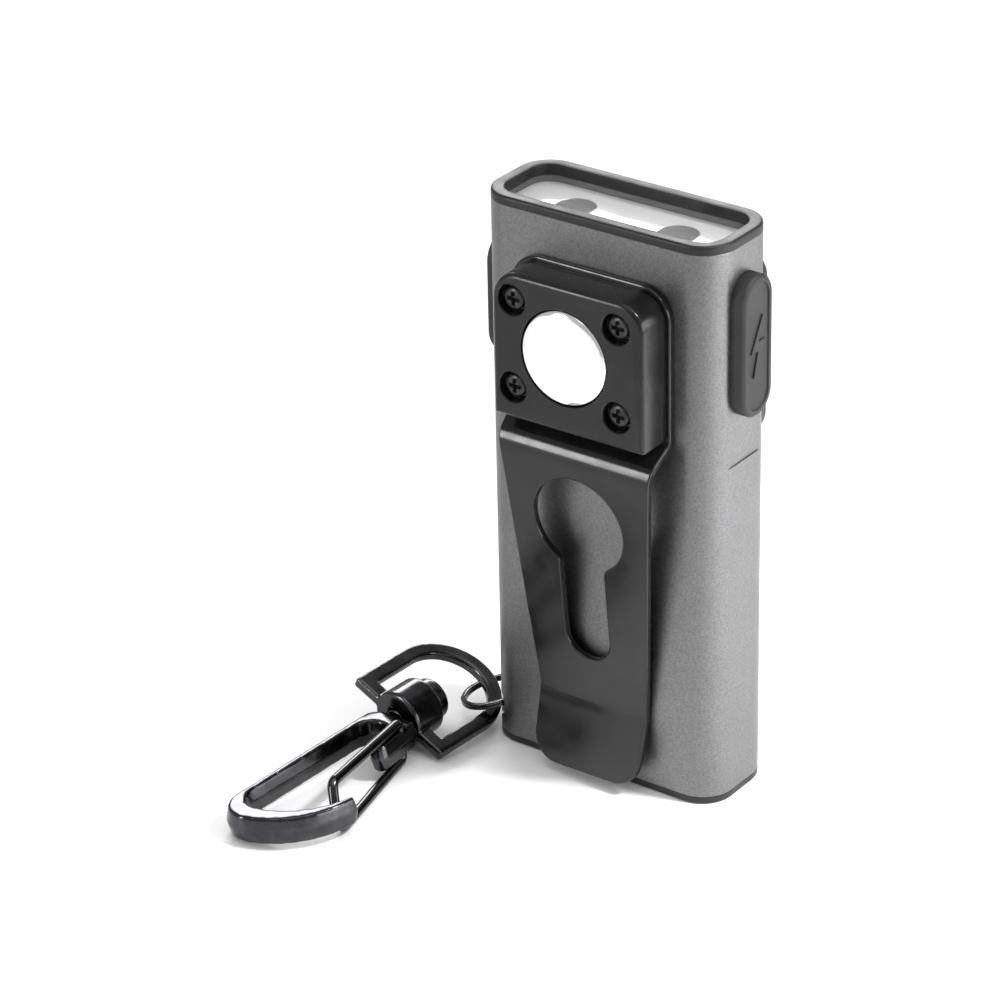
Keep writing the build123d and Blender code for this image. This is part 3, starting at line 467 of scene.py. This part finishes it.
# ---- tube ----
tube = {"width": 28.2, "depth": 11.0, "corner": 3.6, "low": 0.8, "top": 61.1, "wall": 1.0,
        "rim": 0.5, "rimDepth": 1.5, "edge": 0.06, "holeRadius": 1.35, "holeReach": 1.6,
        "cutIn": 12, "cutOut": 15, "windowCut": (4, 6)}
port = {"height": 50.45, "length": 7.9, "width": 3.5, "pocket": 13.97, "pocketHalf": 3.2, "pocketLow": 37.8,
        "pocketTop": 58.1, "pocketCorner": 0.05}
button = {"height": 49.1, "length": 13.2, "width": 5.8, "face": -15.1, "edge": 0.45, "gap": 0.1}
flood = {"height": 47.0, "width": 24.0, "tall": 20.0, "corner": 2.6, "rim": 1.7, "out": 7.4, "edge": 0.5,
         "lensFace": 7.1, "lensBack": 6.2, "windowWidth": 17.4, "windowTall": 13.4,
         "lensCorner": 1.75, "board": 4.5}
tubeOutline = evenOutline(tube["width"], tube["depth"], tube["corner"], steps=14)


def ringHoleCutter(point, outward):
    radius, reach = tube["holeRadius"], tube["holeReach"]
    stick = turned("holeCutter", [(radius, -reach), (radius, reach)], upright, (0, 0), 48)
    stick.data.transform(Vector((0, 0, 1)).rotation_difference(outward).to_matrix().to_4x4())
    stick.data.transform(Matrix.Translation(point * mm))
    return stick


def makeTube():
    t = tube
    rimLow = t["top"] - t["rimDepth"]
    levels = [(t["edge"], t["low"]), (0, t["low"] + t["edge"]), (0, t["top"] - t["edge"]), (t["edge"], t["top"]),
              (t["rim"], t["top"]), (t["rim"], rimLow), (t["wall"], rimLow), (t["wall"], t["low"])]
    shell = stack("tubeShell", tubeOutline, levels, upright, hollow=True)
    middle = (port["pocketLow"] + port["pocketTop"]) / 2
    tall = port["pocketTop"] - port["pocketLow"]
    around = evenOutline(2 * port["pocketHalf"], tall, port["pocketCorner"], (0, middle))
    pocket = stack("pocketCutter", around, [(0, port["pocket"]), (0, t["cutOut"])], facingSide)
    around = slotOutline(port["length"], port["width"], (0, port["height"]))
    socketHole = stack("socketCutter", around, [(0, t["cutIn"]), (0, t["cutOut"])], facingSide)
    gap = 2 * button["gap"]
    around = slotOutline(button["length"] + gap, button["width"] + gap, (0, button["height"]))
    buttonHole = stack("buttonCutter", around, [(0, -t["cutOut"]), (0, -t["cutIn"])], facingSide)
    around = evenOutline(flood["windowWidth"], flood["windowTall"], flood["lensCorner"], (0, flood["height"]))
    window = stack("windowCutter", around, [(0, level) for level in t["windowCut"]], facingFront)
    front, side = (ringHoleCutter(Vector(point), Vector(outward)) for point, outward in ringHoles.values())
    cutAway(shell, pocket, socketHole, buttonHole, window, front, side)
    settle(shell, "anodised_tube", "body", "body_tube")


ringHoles = {        # where each hole is and which way it leads out
    "front": ((-12.9097, -3.85025, 3.52785), (-0.777, -0.629, 0)),
    "side": ((-13.6, 0.22, 3.6), (-1, 0, 0)),
}
makeTube()
print("tube done")

# ---- light head: black bezel, clear window, mirror with two wells ----
head = {"top": 62.0, "edge": 0.3, "rim": 1.35, "roll": ((0.12, 0.0), (0.03, 0.04), (0.0, 0.15)), "lip": 61.0,
        "collarGap": 0.04, "lensTop": 60.8, "lensGap": 1.1, "lensEdge": 0.1, "windowHaze": 0.07, "plate": 60.0,
        "plateEdge": 0.05, "board": 57.0, "wellX": 6.1, "wellTop": 2.05, "wellBase": 1.6, "wellFloor": 0.1,
        "wellRise": 2.8, "cupWall": 0.16, "overcut": 0.5}


def makeHead():
    h = head
    rimLow = tube["top"] - tube["rimDepth"]
    collar = tube["rim"] + h["collarGap"]
    levels = [(0, tube["top"])] + roundEdge(0, h["top"], h["edge"], 1)
    levels += [(h["rim"] - aside, h["top"] - down) for aside, down in h["roll"]]
    levels += [(h["rim"], h["lip"]), (tube["wall"], h["lip"]), (tube["wall"], rimLow), (collar, rimLow),
               (collar, tube["top"])]
    bezel = stack("headBezel", tubeOutline, levels, upright, hollow=True)
    settle(bezel, "black_plastic", "body", "front_bezel")
    gap, edge = h["lensGap"], h["lensEdge"]
    levels = [(gap + edge, h["plate"]), (gap, h["plate"] + edge), (gap, h["lensTop"] - edge),
              (gap + edge, h["lensTop"])]
    coated = newFinish("coatedWindow", (0.95, 0.95, 0.95), 0.02, 0.0, IOR=1.3, Alpha=h["windowHaze"])
    roughSpread(coated, grain(coated, 600), 0.01, 0.03)
    settle(stack("headWindow", tubeOutline, levels, upright), "clear_lens", "body", "lens", finish=coated)
    edge = h["plateEdge"]
    levels = [(gap, h["board"]), (gap, h["plate"] - edge), (gap + edge, h["plate"] - edge / 10)]
    mirror = stack("mirrorPlate", tubeOutline, levels, upright)
    holes, cups = [], []
    outer = h["wellTop"] + h["cupWall"]
    for x in (-h["wellX"], h["wellX"]):
        profile = [(outer, h["board"] - h["overcut"]), (outer, h["plate"] + h["overcut"])]
        holes.append(turned("wellCutter", profile, upright, (x, 0), 72))
        inside = []
        for i in range(11):
            t = i / 10
            radius = h["wellBase"] + (h["wellTop"] - h["wellBase"]) * math.sqrt(t)
            inside.append((radius, h["board"] + h["wellFloor"] + h["wellRise"] * t))
        profile = [(h["wellBase"], h["board"]), (outer, h["board"]), (outer, h["plate"]),
                   (outer - 0.05, h["plate"] + 0.03), (h["wellTop"] + 0.04, h["plate"] + 0.02)] + inside[::-1]
        cups.append(latheRing("cup", profile, (x, 0)))
    cutAway(mirror, *holes)
    settle(mirror, "mirror_reflector", "body", "reflector", sharpAngle=20)
    # the well cups get a darker copy of the mirror finish: painted shade inside the wells
    shadedCupFinish = platedMetal("cupMirrorWithPaintedShade", (0.25, 0.25, 0.25), (0.4, 0.4, 0.4), 0.06, 0.1, 500, 0.001)
    settle(join("lampCups", cups), "mirror_reflector", "body", sharpAngle=40, finish=shadedCupFinish)


makeHead()
print("light head done")

# ---- light sources: ceramic base, yellow phosphor and a clear dome in each well ----
spot = {"side": 2.4, "base": 57.4, "edge": 0.05, "phosphor": 1.5, "phosphorRise": 0.12, "dome": 1.05,
        "domeHeight": 0.62}


def makeSpots():
    bases, squares, domes = [], [], []
    for x in (-head["wellX"], head["wellX"]):
        edge, base = spot["edge"], spot["base"]
        around = evenOutline(spot["side"], spot["side"], 0.15, (x, 0))
        bases.append(stack("base", around, [(0, head["board"]), (0, base - edge), (edge, base)], upright))
        around = evenOutline(spot["phosphor"], spot["phosphor"], 0.12, (x, 0))
        levels = [(0, base - 0.02), (0, base + 0.08), (edge, base + spot["phosphorRise"])]
        squares.append(stack("square", around, levels, upright))
        arc = [(spot["dome"] * math.cos(a), spot["base"] + spot["domeHeight"] * math.sin(a))
               for a in (math.pi / 2 * i / 10 for i in range(10))]
        domes.append(turned("dome", arc + [(0.02, spot["base"] + spot["domeHeight"])], upright, (x, 0), 40))
    settle(join("spotBases", bases), "white_board", "body", "spot_chips")
    settle(join("spotPhosphor", squares), "led_phosphor", "body")
    settle(join("spotDomes", domes), "clear_lens", "body")


makeSpots()
print("light sources done")

# ---- magnet holder with its pocket and four screw wells ----
holder = {"half": 8.997, "top": 56.5, "low": 40.8, "corner": 3.0, "face": -10.2, "back": -6.3, "edge": 0.5,
          "lowCorner": 0.35, "backEdge": 0.05, "pocket": 5.12, "pocketFloor": -7.3, "pocketFlare": 0.05,
          "well": 1.62, "wellFloor": -8.95, "wellRound": 0.25, "flare": 0.1}
magnetDisc = {"middle": (-0.45, 48.9), "radius": 5.0, "face": -10.3, "back": -7.3, "chamfer": 0.25}
screw = {"x": 6.197, "rise": 4.721, "radius": 1.2, "top": -9.85, "seat": -8.95, "shank": 0.8, "tip": -3.1,
         "dome": 0.4, "domeRise": 0.34, "crown": 0.75,
         "crossWidth": 0.48, "crossLength": 1.55, "crossDepth": 0.55}


def screwPlaces():
    u, v = magnetDisc["middle"]
    return [(u + x, v + z) for x in (-screw["x"], screw["x"]) for z in (-screw["rise"], screw["rise"])]


def makeHolder():
    h = holder
    corners = (h["lowCorner"], h["corner"], h["corner"], h["lowCorner"])
    outline = lambda inset: roundedOutline(-h["half"], h["half"], h["low"], h["top"], corners, inset, 12)
    levels = [(h["backEdge"], h["back"]), (0, h["back"] - h["backEdge"])]
    levels += roundEdge(0, h["face"], h["edge"], -1, 5)
    block = stack("magnetHolder", outline, levels, facingFront)
    flare = h["flare"]
    lead = h["pocketFlare"]
    profile = [(h["pocket"], h["pocketFloor"]), (h["pocket"], h["face"] + lead),
               (h["pocket"] + 3 * lead, h["face"] - 2 * lead)]
    cutters = [turned("pocketCutter", profile, facingFront, magnetDisc["middle"], 96)]
    for place in screwPlaces():
        profile = [(h["well"] - h["wellRound"], h["wellFloor"]), (h["well"], h["wellFloor"] - h["wellRound"]),
                   (h["well"], h["face"] + flare), (h["well"] + 3 * flare, h["face"] - 2 * flare)]
        cutters.append(turned("wellCutter", profile, facingFront, place, 56))
    cutAway(block, *cutters)
    settle(block, "black_gloss_plastic", "body", "magnet_holder")


def makeMagnet():
    m = magnetDisc
    edge = m["chamfer"]
    profile = [(m["radius"] - 0.1, m["back"]), (m["radius"], m["back"] - 0.1), (m["radius"], m["face"] + edge),
               (m["radius"] - 0.05, m["face"] + edge - 0.08), (m["radius"] - edge + 0.04, m["face"] + 0.03),
               (m["radius"] - edge, m["face"]), (m["radius"] - 1.2, m["face"]), (0.3, m["face"])]
    disc = turned("magnetDisc", profile, facingFront, m["middle"], 128)
    settle(disc, "nickel_magnet", "body", "magnet", sharpAngle=40)


def makeScrews():
    s = screw
    made = []
    for place in screwPlaces():
        rim = s["top"] + s["dome"]
        profile = [(s["shank"], s["tip"]), (s["shank"], s["seat"]), (s["radius"] - 0.04, s["seat"]),
                   (s["radius"], s["seat"] - 0.05), (s["radius"], rim)]
        for i in range(1, 9):
            angle = math.pi / 2 * i / 9
            radius = s["crown"] + (s["radius"] - s["crown"]) * math.cos(angle)
            profile.append((radius, rim - s["domeRise"] * math.sin(angle)))
        profile += [(0.5, s["top"] + 0.015), (0.05, s["top"])]
        head = turned("screwHead", profile, facingFront, place, 48)
        cutters = []
        for width, length in ((s["crossWidth"], s["crossLength"]), (s["crossLength"], s["crossWidth"])):
            bar = evenOutline(width, length, 0.06, place, steps=3)
            levels = [(0.12, s["top"] + s["crossDepth"]), (-0.02, s["top"] - 0.1)]
            cutters.append(stack("crossCutter", bar, levels, facingFront))
        made.append(cutAway(head, *cutters))
    settle(join("crossScrews", made), "black_screw", "body", "holder_screws")


makeHolder()
makeMagnet()
makeScrews()
print("holder, magnet and screws done")

# ---- clip: one bent sheet from the plate under the holder to the flared tip ----
clip = {"half": 9.447, "ridgeHalf": 9.1, "top": 56.951, "topCorner": 3.45, "face": -6.3, "split": 40.699,
        "ridgeZ": 38.299, "ridgeY": -9.65,
        "lowZ": 8.7, "lowY": -6.35, "lowHalf": 6.6, "endZ": 1.2, "endY": -8.25, "endHalf": 6.5, "endCorner": 3.0,
        "sheet": 0.8, "edge": 0.16, "bends": (0.9, 2.3, 4.0), "keyZ": 29.999, "keyRadius": 5.35, "slotHalf": 2.65,
        "slotLow": 16.65, "neck": 1.0, "bendZone": 2.6, "fineStep": 0.1, "step": 0.6, "blendHalf": 0.6}


def arcPoints(centre, radius, begin, end, steps):
    angles = [math.radians(begin + (end - begin) * i / steps) for i in range(steps + 1)]
    return [(centre[0] + radius * math.cos(a), centre[1] + radius * math.sin(a)) for a in angles]


def clipEdge():
    c = clip
    top = c["top"] - c["topCorner"]
    right = arcPoints((c["endHalf"] - c["endCorner"], c["endZ"] + c["endCorner"]), c["endCorner"], -90, 0, 12)
    right += [(c["lowHalf"], c["lowZ"]), (c["ridgeHalf"], c["ridgeZ"]), (c["half"], c["split"])]
    right += arcPoints((c["half"] - c["topCorner"], top), c["topCorner"], 0, 90, 12)
    return right + [(-x, z) for x, z in reversed(right)]


def keyholeEdge():
    c = clip
    big, narrow, neck = c["keyRadius"], c["slotHalf"], c["neck"]
    rise = math.sqrt((big + neck) ** 2 - (narrow + neck) ** 2)
    lean = math.degrees(math.atan2(-rise, narrow + neck))
    right = arcPoints((0, c["slotLow"]), narrow, -90, 0, 12)
    right += arcPoints((narrow + neck, c["keyZ"] - rise), neck, 180, 180 + lean, 8)[:-1]
    right += arcPoints((0, c["keyZ"]), big, lean, 90, 30)
    return right + [(-x, z) for x, z in reversed(right[1:-1])]


def insetEdge(edge, amount):
    # Moves an outline to its left by amount, point by point
    moved = []
    count = len(edge)
    for i, (x, z) in enumerate(edge):
        before, after = Vector(edge[i - 1]), Vector(edge[(i + 1) % count])
        along = (after - before).normalized()
        moved.append((x - along.y * amount, z + along.x * amount))
    return moved


def makeClip():
    c = clip
    e = c["edge"]
    bevel = e * 0.3
    layers = [(e, 0.0), (bevel, bevel), (0, e), (0, c["sheet"] - e), (bevel, c["sheet"] - bevel), (e, c["sheet"])]
    shape = bmesh.new()
    caps = {0: [], len(layers) - 1: []}
    for edge, way in ((clipEdge(), 1), (keyholeEdge(), -1)):
        rings = []
        for amount, depth in layers:
            rings.append([shape.verts.new((x, depth, z)) for x, z in insetEdge(edge, amount * way)])
        for a, b in zip(rings, rings[1:]):
            for i in range(len(a)):
                j = (i + 1) % len(a)
                shape.faces.new((a[i], a[j], b[j], b[i]))
        for level in caps:
            ring = rings[level]
            for i in range(len(ring)):
                j = (i + 1) % len(ring)
                caps[level].append(shape.edges.get((ring[i], ring[j])) or shape.edges.new((ring[i], ring[j])))
    for level in caps:
        bmesh.ops.triangle_fill(shape, use_beauty=True, use_dissolve=False, edges=caps[level])
    height = c["endZ"] + 0.2
    while height < c["top"]:
        near = abs(height - (c["ridgeZ"] + c["split"]) / 2) < c["bendZone"]
        geometry = shape.verts[:] + shape.edges[:] + shape.faces[:]
        bmesh.ops.bisect_plane(shape, geom=geometry, plane_co=(0, 0, height), plane_no=(0, 0, 1), dist=1e-5)
        height += c["fineStep"] if near else c["step"]
    corners = [(c["face"], c["top"]), (c["face"], c["split"]), (c["ridgeY"], c["ridgeZ"]), (c["lowY"], c["lowZ"]),
               (c["endY"], c["endZ"])]
    path = bentPath(corners, c["bends"], 10)
    alongAt = []
    for k in range(len(path)):
        a, b = path[max(k - 1, 0)], path[min(k + 1, len(path) - 1)]
        alongAt.append((b - a).normalized())
    for vert in shape.verts:
        x, depth, z = vert.co
        z = min(max(z, c["endZ"]), c["top"])
        for k in range(len(path) - 1):
            a, b = path[k], path[k + 1]
            if a.y >= z >= b.y:
                break
        t = (a.y - z) / max(a.y - b.y, 1e-9)
        here = a.lerp(b, t)
        along = alongAt[k].lerp(alongAt[k + 1], t).normalized()
        vert.co = Vector((x, here.x - along.y * depth, here.y + along.x * depth)) * mm
    mesh = bpy.data.meshes.new("springClip")
    shape.to_mesh(mesh)
    shape.free()
    piece = bpy.data.objects.new("springClip", mesh)
    scene.collection.objects.link(piece)
    settle(piece, "black_clip", None, "clip_plate", "clip_arm", sharpAngle=20)
    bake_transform(piece)


makeClip()
print("clip done")

# ---- side button ----
buttonDetail = {"inner": -12.6, "flangeLip": 0.4, "flangeEnd": -12.05, "stem": 1.0, "stemEnd": -11.3,
                "ringIn": 1.1, "ringWide": 0.3, "dish": 0.1}


def makeButton():
    b, d = button, buttonDetail
    outline = slotOutline(b["length"], b["width"], (0, b["height"]))
    lip = d["flangeLip"]
    levels = [(-lip + 0.1, d["flangeEnd"]), (-lip, d["flangeEnd"] - 0.1), (-lip, d["inner"]), (0, d["inner"])]
    levels += roundEdge(0, b["face"], b["edge"], -1, 6)
    levels += [(d["ringIn"], b["face"]), (d["ringIn"] + 0.12, b["face"] + d["dish"]),
               (d["ringIn"] + d["ringWide"] + 0.5, b["face"] + d["dish"])]
    cap = stack("sideButton", outline, levels, facingSide)
    profile = [(d["stem"], d["stemEnd"]), (d["stem"], d["flangeEnd"] - 0.05)]
    stem = turned("stem", profile, facingSide, (0, b["height"]), 32)
    settle(join("sideButton", [cap, stem]), "grey_rubber", "button", "power_button")


makeButton()
print("button done")

# ---- rubber cover over the charging port ----
cover = {"length": 15.1, "width": 5.2, "seat": 13.97, "face": 15.6, "bevel": 0.3, "rim": 0.75, "recess": 0.2,
         "tongueLength": 6.9, "tongueWidth": 2.7, "tongueEnd": 12.27, "hinge": (14.785, 43.715), "barrel": 0.815,
         "bolt": ((0.75, 3.2), (-1.2, -0.5), (-0.05, -0.5)), "boltHeight": 0.19}


def makeCover():
    c = cover
    middle = (0, port["height"])
    outline = slotOutline(c["length"], c["width"], middle)
    levels = [(0, c["seat"]), (0, c["face"] - c["bevel"] - 0.05), (0.04, c["face"] - c["bevel"] + 0.03),
              (c["bevel"] - 0.03, c["face"] - 0.04), (c["bevel"] + 0.05, c["face"]), (c["rim"] - 0.05, c["face"]),
              (c["rim"], c["face"] - 0.05), (c["rim"] + 0.03, c["face"] - c["recess"] + 0.03),
              (c["rim"] + 0.1, c["face"] - c["recess"])]
    plate = stack("portCover", outline, levels, facingSide)
    hx, hz = c["hinge"]
    low = port["height"] - c["length"] / 2
    heel = [(hx, low - 0.3), (c["seat"] - 0.3, low - 0.3), (c["seat"] - 0.3, hz), (c["seat"], hz)]
    heel += [(hx + c["barrel"] * math.cos(a), hz + c["barrel"] * math.sin(a))
             for a in (math.pi + math.pi / 2 * i / 8 for i in range(1, 8))] + [(hx, low)]
    count = len(heel)
    points = [(x, y, z) for y in (-4, 4) for x, z in heel]
    faces = [tuple(range(count)), tuple(range(count, 2 * count))]
    faces += [(i, (i + 1) % count, count + (i + 1) % count, count + i) for i in range(count)]
    heelCutter = newPiece("heelCutter", points, faces)
    tidyNormals(heelCutter)
    cutAway(plate, heelCutter)
    tongueOutline = slotOutline(c["tongueLength"], c["tongueWidth"], middle)
    levels = [(0.3, c["tongueEnd"]), (0, c["tongueEnd"] + 0.3), (0, c["seat"] + 0.1)]
    tongue = stack("tongue", tongueOutline, levels, facingSide)
    floor = c["face"] - c["recess"]
    bolt = list(c["bolt"]) + [(-y, -z) for y, z in c["bolt"]]
    count = len(bolt)
    points = []
    top = floor + c["boltHeight"]
    for level, shrink in ((floor - 0.02, 1.0), (top - 0.04, 1.0), (top, 0.93)):
        points += [(level, y * shrink, port["height"] + z * shrink) for y, z in bolt]
    faces = [tuple(range(count)), tuple(range(2 * count, 3 * count))]
    for a in (0, count):
        for i in range(count):
            j = (i + 1) % count
            faces.append((a + i, a + j, a + count + j, a + count + i))
    sign = newPiece("chargeSign", points, faces)
    settle(join("portCover", [plate, tongue, sign]), "grey_rubber", "cover", "usb_cover")


makeCover()
print("port cover done")

# ---- flood light on the back: frame, ribbed window, emitter panel ----
floodDetail = {"lensGap": 0.08, "ribs": 24, "ribDepth": 0.12, "ribMargin": 1.7, "frameLow": 5.0,
               "panelWidth": 15.4, "panelTall": 11.4, "dam": 0.7, "panelFace": 5.0}


def makeFlood():
    f, d = flood, floodDetail
    outline = evenOutline(f["width"], f["tall"], f["corner"], (0, f["height"]), 12)
    opening = f["rim"] - d["lensGap"]
    levels = [(0, d["frameLow"])] + roundEdge(0, f["out"], f["edge"], 1, 5)
    levels += [(opening - 0.3, f["out"]), (opening - 0.08, f["out"] - 0.06), (opening, f["out"] - 0.25),
               (opening, d["frameLow"])]
    frameRing = stack("floodFrame", outline, levels, facingFront, hollow=True)
    settle(frameRing, "black_plastic", "body", "flood_bezel")
    width, tall = f["width"] - 2 * f["rim"], f["tall"] - 2 * f["rim"]
    lensOutline = evenOutline(width, tall, f["lensCorner"], (0, f["height"]), 10)
    levels = [(0.1, f["lensBack"]), (0, f["lensBack"] + 0.1), (0, f["lensFace"] - 0.1), (0.03, f["lensFace"] - 0.03),
              (0.12, f["lensFace"])]
    window = stack("floodWindow", lensOutline, levels, facingFront)
    points, faces = [], []
    margin = d["ribMargin"]
    ribbed = width - 2 * margin
    low, high = f["height"] - tall / 2 + margin, f["height"] + tall / 2 - margin
    wave = 12 * d["ribs"]
    for z in (low, high):
        for i in range(wave + 1):
            x = -ribbed / 2 + ribbed * i / wave
            y = f["lensBack"] - 0.02 - d["ribDepth"] * abs(math.sin(math.pi * d["ribs"] * i / wave))
            points.append((x, y, z))
    for z in (low, high):
        for i in range(wave + 1):
            points.append((-ribbed / 2 + ribbed * i / wave, f["lensBack"] + 0.04, z))
    row = wave + 1
    for i in range(wave):
        faces.append((i, i + 1, row + i + 1, row + i))
        faces.append((2 * row + i, 2 * row + i + 1, 3 * row + i + 1, 3 * row + i))
        faces.append((i, i + 1, 2 * row + i + 1, 2 * row + i))
        faces.append((row + i, row + i + 1, 3 * row + i + 1, 3 * row + i))
    faces += [(0, row, 3 * row, 2 * row), (wave, row + wave, 3 * row + wave, 2 * row + wave)]
    ribs = newPiece("ribs", points, faces)
    settle(join("floodWindow", [window, ribs]), "clear_lens", "body", "flood_lens", sharpAngle=50)
    dam = evenOutline(d["panelWidth"], d["panelTall"], 1.0, (0, f["height"]), 8)
    levels = [(0, f["board"]), (0, d["panelFace"] - 0.1), (0.1, d["panelFace"]),
              (d["dam"] - 0.1, d["panelFace"]), (d["dam"], d["panelFace"] - 0.1), (d["dam"], f["board"])]
    settle(stack("emitterDam", dam, levels, facingFront, hollow=True), "white_board", "body")
    panelWidth, panelTall = d["panelWidth"] - 2 * d["dam"], d["panelTall"] - 2 * d["dam"]
    panel = evenOutline(panelWidth, panelTall, 0.4, (0, f["height"]), 6)
    levels = [(0, f["board"]), (0, d["panelFace"] - 0.2), (0.6, d["panelFace"] - 0.12), (2.0, d["panelFace"] - 0.08)]
    settle(stack("emitterPanel", panel, levels, facingFront), "led_phosphor", "body", "flood_emitter")


makeFlood()
print("flood light done")

# ---- split ring of two flat turns through the tube's corner ----
ring = {"centre": (-15.7689, -2.0107, 2.85), "radius": 3.4, "wire": 0.42, "pitch": 3.8, "roll": -15.6,
        "split": 212.0, "shift": 34.0, "halfShare": 0.37, "wideShare": 0.68, "edge": 0.1, "endGap": 6}


def frameAt(origin, *turns):
    place = Matrix.Translation(Vector(origin))
    for angle, axis in turns:
        place = place @ Matrix.Rotation(math.radians(angle), 4, axis)
    return place


def makeRing():
    r = ring
    place = frameAt(r["centre"], (r["pitch"], "X"), (r["roll"], "Y"))
    half = r["wire"] * r["halfShare"]
    wide = r["wire"] * r["wideShare"]
    edge = r["edge"]
    section = [(u * (wide - edge) + edge * math.cos(a), v * (half - edge) + edge * math.sin(a))
               for u, v, begin in ((1, 1, 0), (-1, 1, 90), (-1, -1, 180), (1, -1, 270))
               for a in (math.radians(begin + 90 * k / 4) for k in range(5))]
    path = []
    steps = 220
    for k in range(steps + 1):
        turnedBy = (720 - r["endGap"]) * k / steps
        fade = min(max((turnedBy - 360 + r["shift"]) / (2 * r["shift"]), 0), 1)
        fade = fade * fade * (3 - 2 * fade)
        lift = (half + 0.01) * (1 - 2 * fade)
        angle = math.radians(r["split"] + turnedBy)
        path.append(place @ Vector((r["radius"] * math.cos(angle), r["radius"] * math.sin(angle), lift)))
    normal = (place.to_3x3() @ Vector((0, 0, 1))).normalized()
    settle(sweep("splitRing", path, section, normal), "black_nickel", "ring", "jump_ring", sharpAngle=40)


makeRing()
print("ring done")

# ---- cast bow, its rivet and the snap hook ----
castParts = {"bow": (0.11, 14), "hook": (0.12, 18), "pin": (0.09, 7)}


def makeCastings():
    for nodeName, name, body, sizes in (("swivel_bow", "swivelBow", "bow", castParts["bow"]),
                                        ("snap_hook", "snapHook", "hook", castParts["hook"]),
                                        ("swivel_pin", "swivelPin", "hook", castParts["pin"])):
        settle(castCopy(nodeName, name, *sizes), "black_nickel", body, nodeName, sharpAngle=70)


makeCastings()
print("bow and hook done")

# ---- spring gate of bent wire ----
gate = {"hub": (-20.2889, -12.1404, 3.2), "yaw": -5.0, "pitch": 2.0, "roll": -4.0, "pivot": (2.7, -3.4),
        "upper": (5.3, -16.2), "lower": (7.4, -18.2), "middle": -0.5, "rise": 2.15, "wire": 0.55, "ends": 0.5,
        "bends": (0.6, 1.1, 1.1, 0.6)}


def makeGate():
    g = gate
    place = frameAt(g["hub"], (g["yaw"], "Z"), (g["pitch"], "X"), (g["roll"], "Y"))
    high, low = g["middle"] + g["rise"], g["middle"] - g["rise"]
    corners = [(*g["pivot"], g["middle"] + g["ends"]), (*g["pivot"], high), (*g["upper"], high), (*g["lower"], low),
               (*g["pivot"], low), (*g["pivot"], g["middle"] - g["ends"])]
    path = [place @ p for p in bentPath(corners, g["bends"], 10)]
    ups = []
    up = Vector((0.3, 0.9, 0.1))
    for k in range(len(path)):
        along = (path[min(k + 1, len(path) - 1)] - path[max(k - 1, 0)]).normalized()
        up = (up - along * up.dot(along)).normalized()
        ups.append(up.copy())
    wire = sweep("wireGate", path, roundSection(g["wire"], 24), lambda k: ups[k])
    settle(wire, "black_nickel", "gate", "snap_gate", sharpAngle=50)


makeGate()
print("gate done")

# ---- pale floor and soft studio light ----
studio = {"world": 0.45, "floor": (0.93, 0.93, 0.93), "floorSize": 4.0, "floorDrop": 0.02,
          "aim": (-0.005, -0.005, 0.03)}
lamps = {        # name: (direction from the object, distance, size, power)
    "overhead": ((0.1, -0.1, 1.0), 0.9, (0.7, 0.7), 2.1),
    "backPanel": ((-0.53, 0.714, 0.457), 0.9, (0.5, 0.25), 4.4),
    "sidePanel": ((1.0, 0.25, 0.12), 0.9, (1.3, 0.4), 8.0),
    "frontPanel": ((-0.53, -0.82, 0.26), 0.9, (0.1, 0.46), 2.9),
}
pool = {        # a pool of light on the floor to the right, in metres
    "place": (0.34, 0.1, 0.46), "aim": (0.13, 0.03, 0.0), "cone": 36, "softness": 0.05, "power": 30,
}


def makeStudio():
    world = bpy.data.worlds.new("studioWorld")
    scene.world = world
    world.use_nodes = True
    sky = world.node_tree.nodes["Background"]
    sky.inputs["Color"].default_value = (1, 1, 1, 1)
    sky.inputs["Strength"].default_value = studio["world"]
    half = studio["floorSize"] / 2
    around = ((-1, -1), (1, -1), (1, 1), (-1, 1))
    corners = [(x / mm * half, y / mm * half, -studio["floorDrop"]) for x, y in around]
    floor = newPiece("studioFloor", corners, [(0, 1, 2, 3)])
    material = newFinish("paleFloor", studio["floor"], 0.6)
    noise = grain(material, 40)
    roughSpread(material, noise, 0.55, 0.65)
    floor.data.materials.append(material)
    middle = Vector(studio["aim"])
    for name, (direction, distance, size, power) in lamps.items():
        data = bpy.data.lights.new(name, "AREA")
        data.shape = "RECTANGLE"
        data.size, data.size_y = size
        data.energy = power
        lamp = bpy.data.objects.new(name, data)
        scene.collection.objects.link(lamp)
        way = Vector(direction).normalized()
        lamp.location = middle + way * distance
        lamp.rotation_euler = way.to_track_quat("Z", "Y").to_euler()
    data = bpy.data.lights.new("floorPool", "SPOT")
    data.spot_size = math.radians(pool["cone"])
    data.spot_blend = 1.0
    data.shadow_soft_size = pool["softness"]
    data.energy = pool["power"]
    lamp = bpy.data.objects.new("floorPool", data)
    scene.collection.objects.link(lamp)
    lamp.location = pool["place"]
    lamp.rotation_euler = (Vector(pool["place"]) - Vector(pool["aim"])).to_track_quat("Z", "Y").to_euler()
    scene.view_settings.view_transform = "Standard"


makeStudio()
print("studio done")
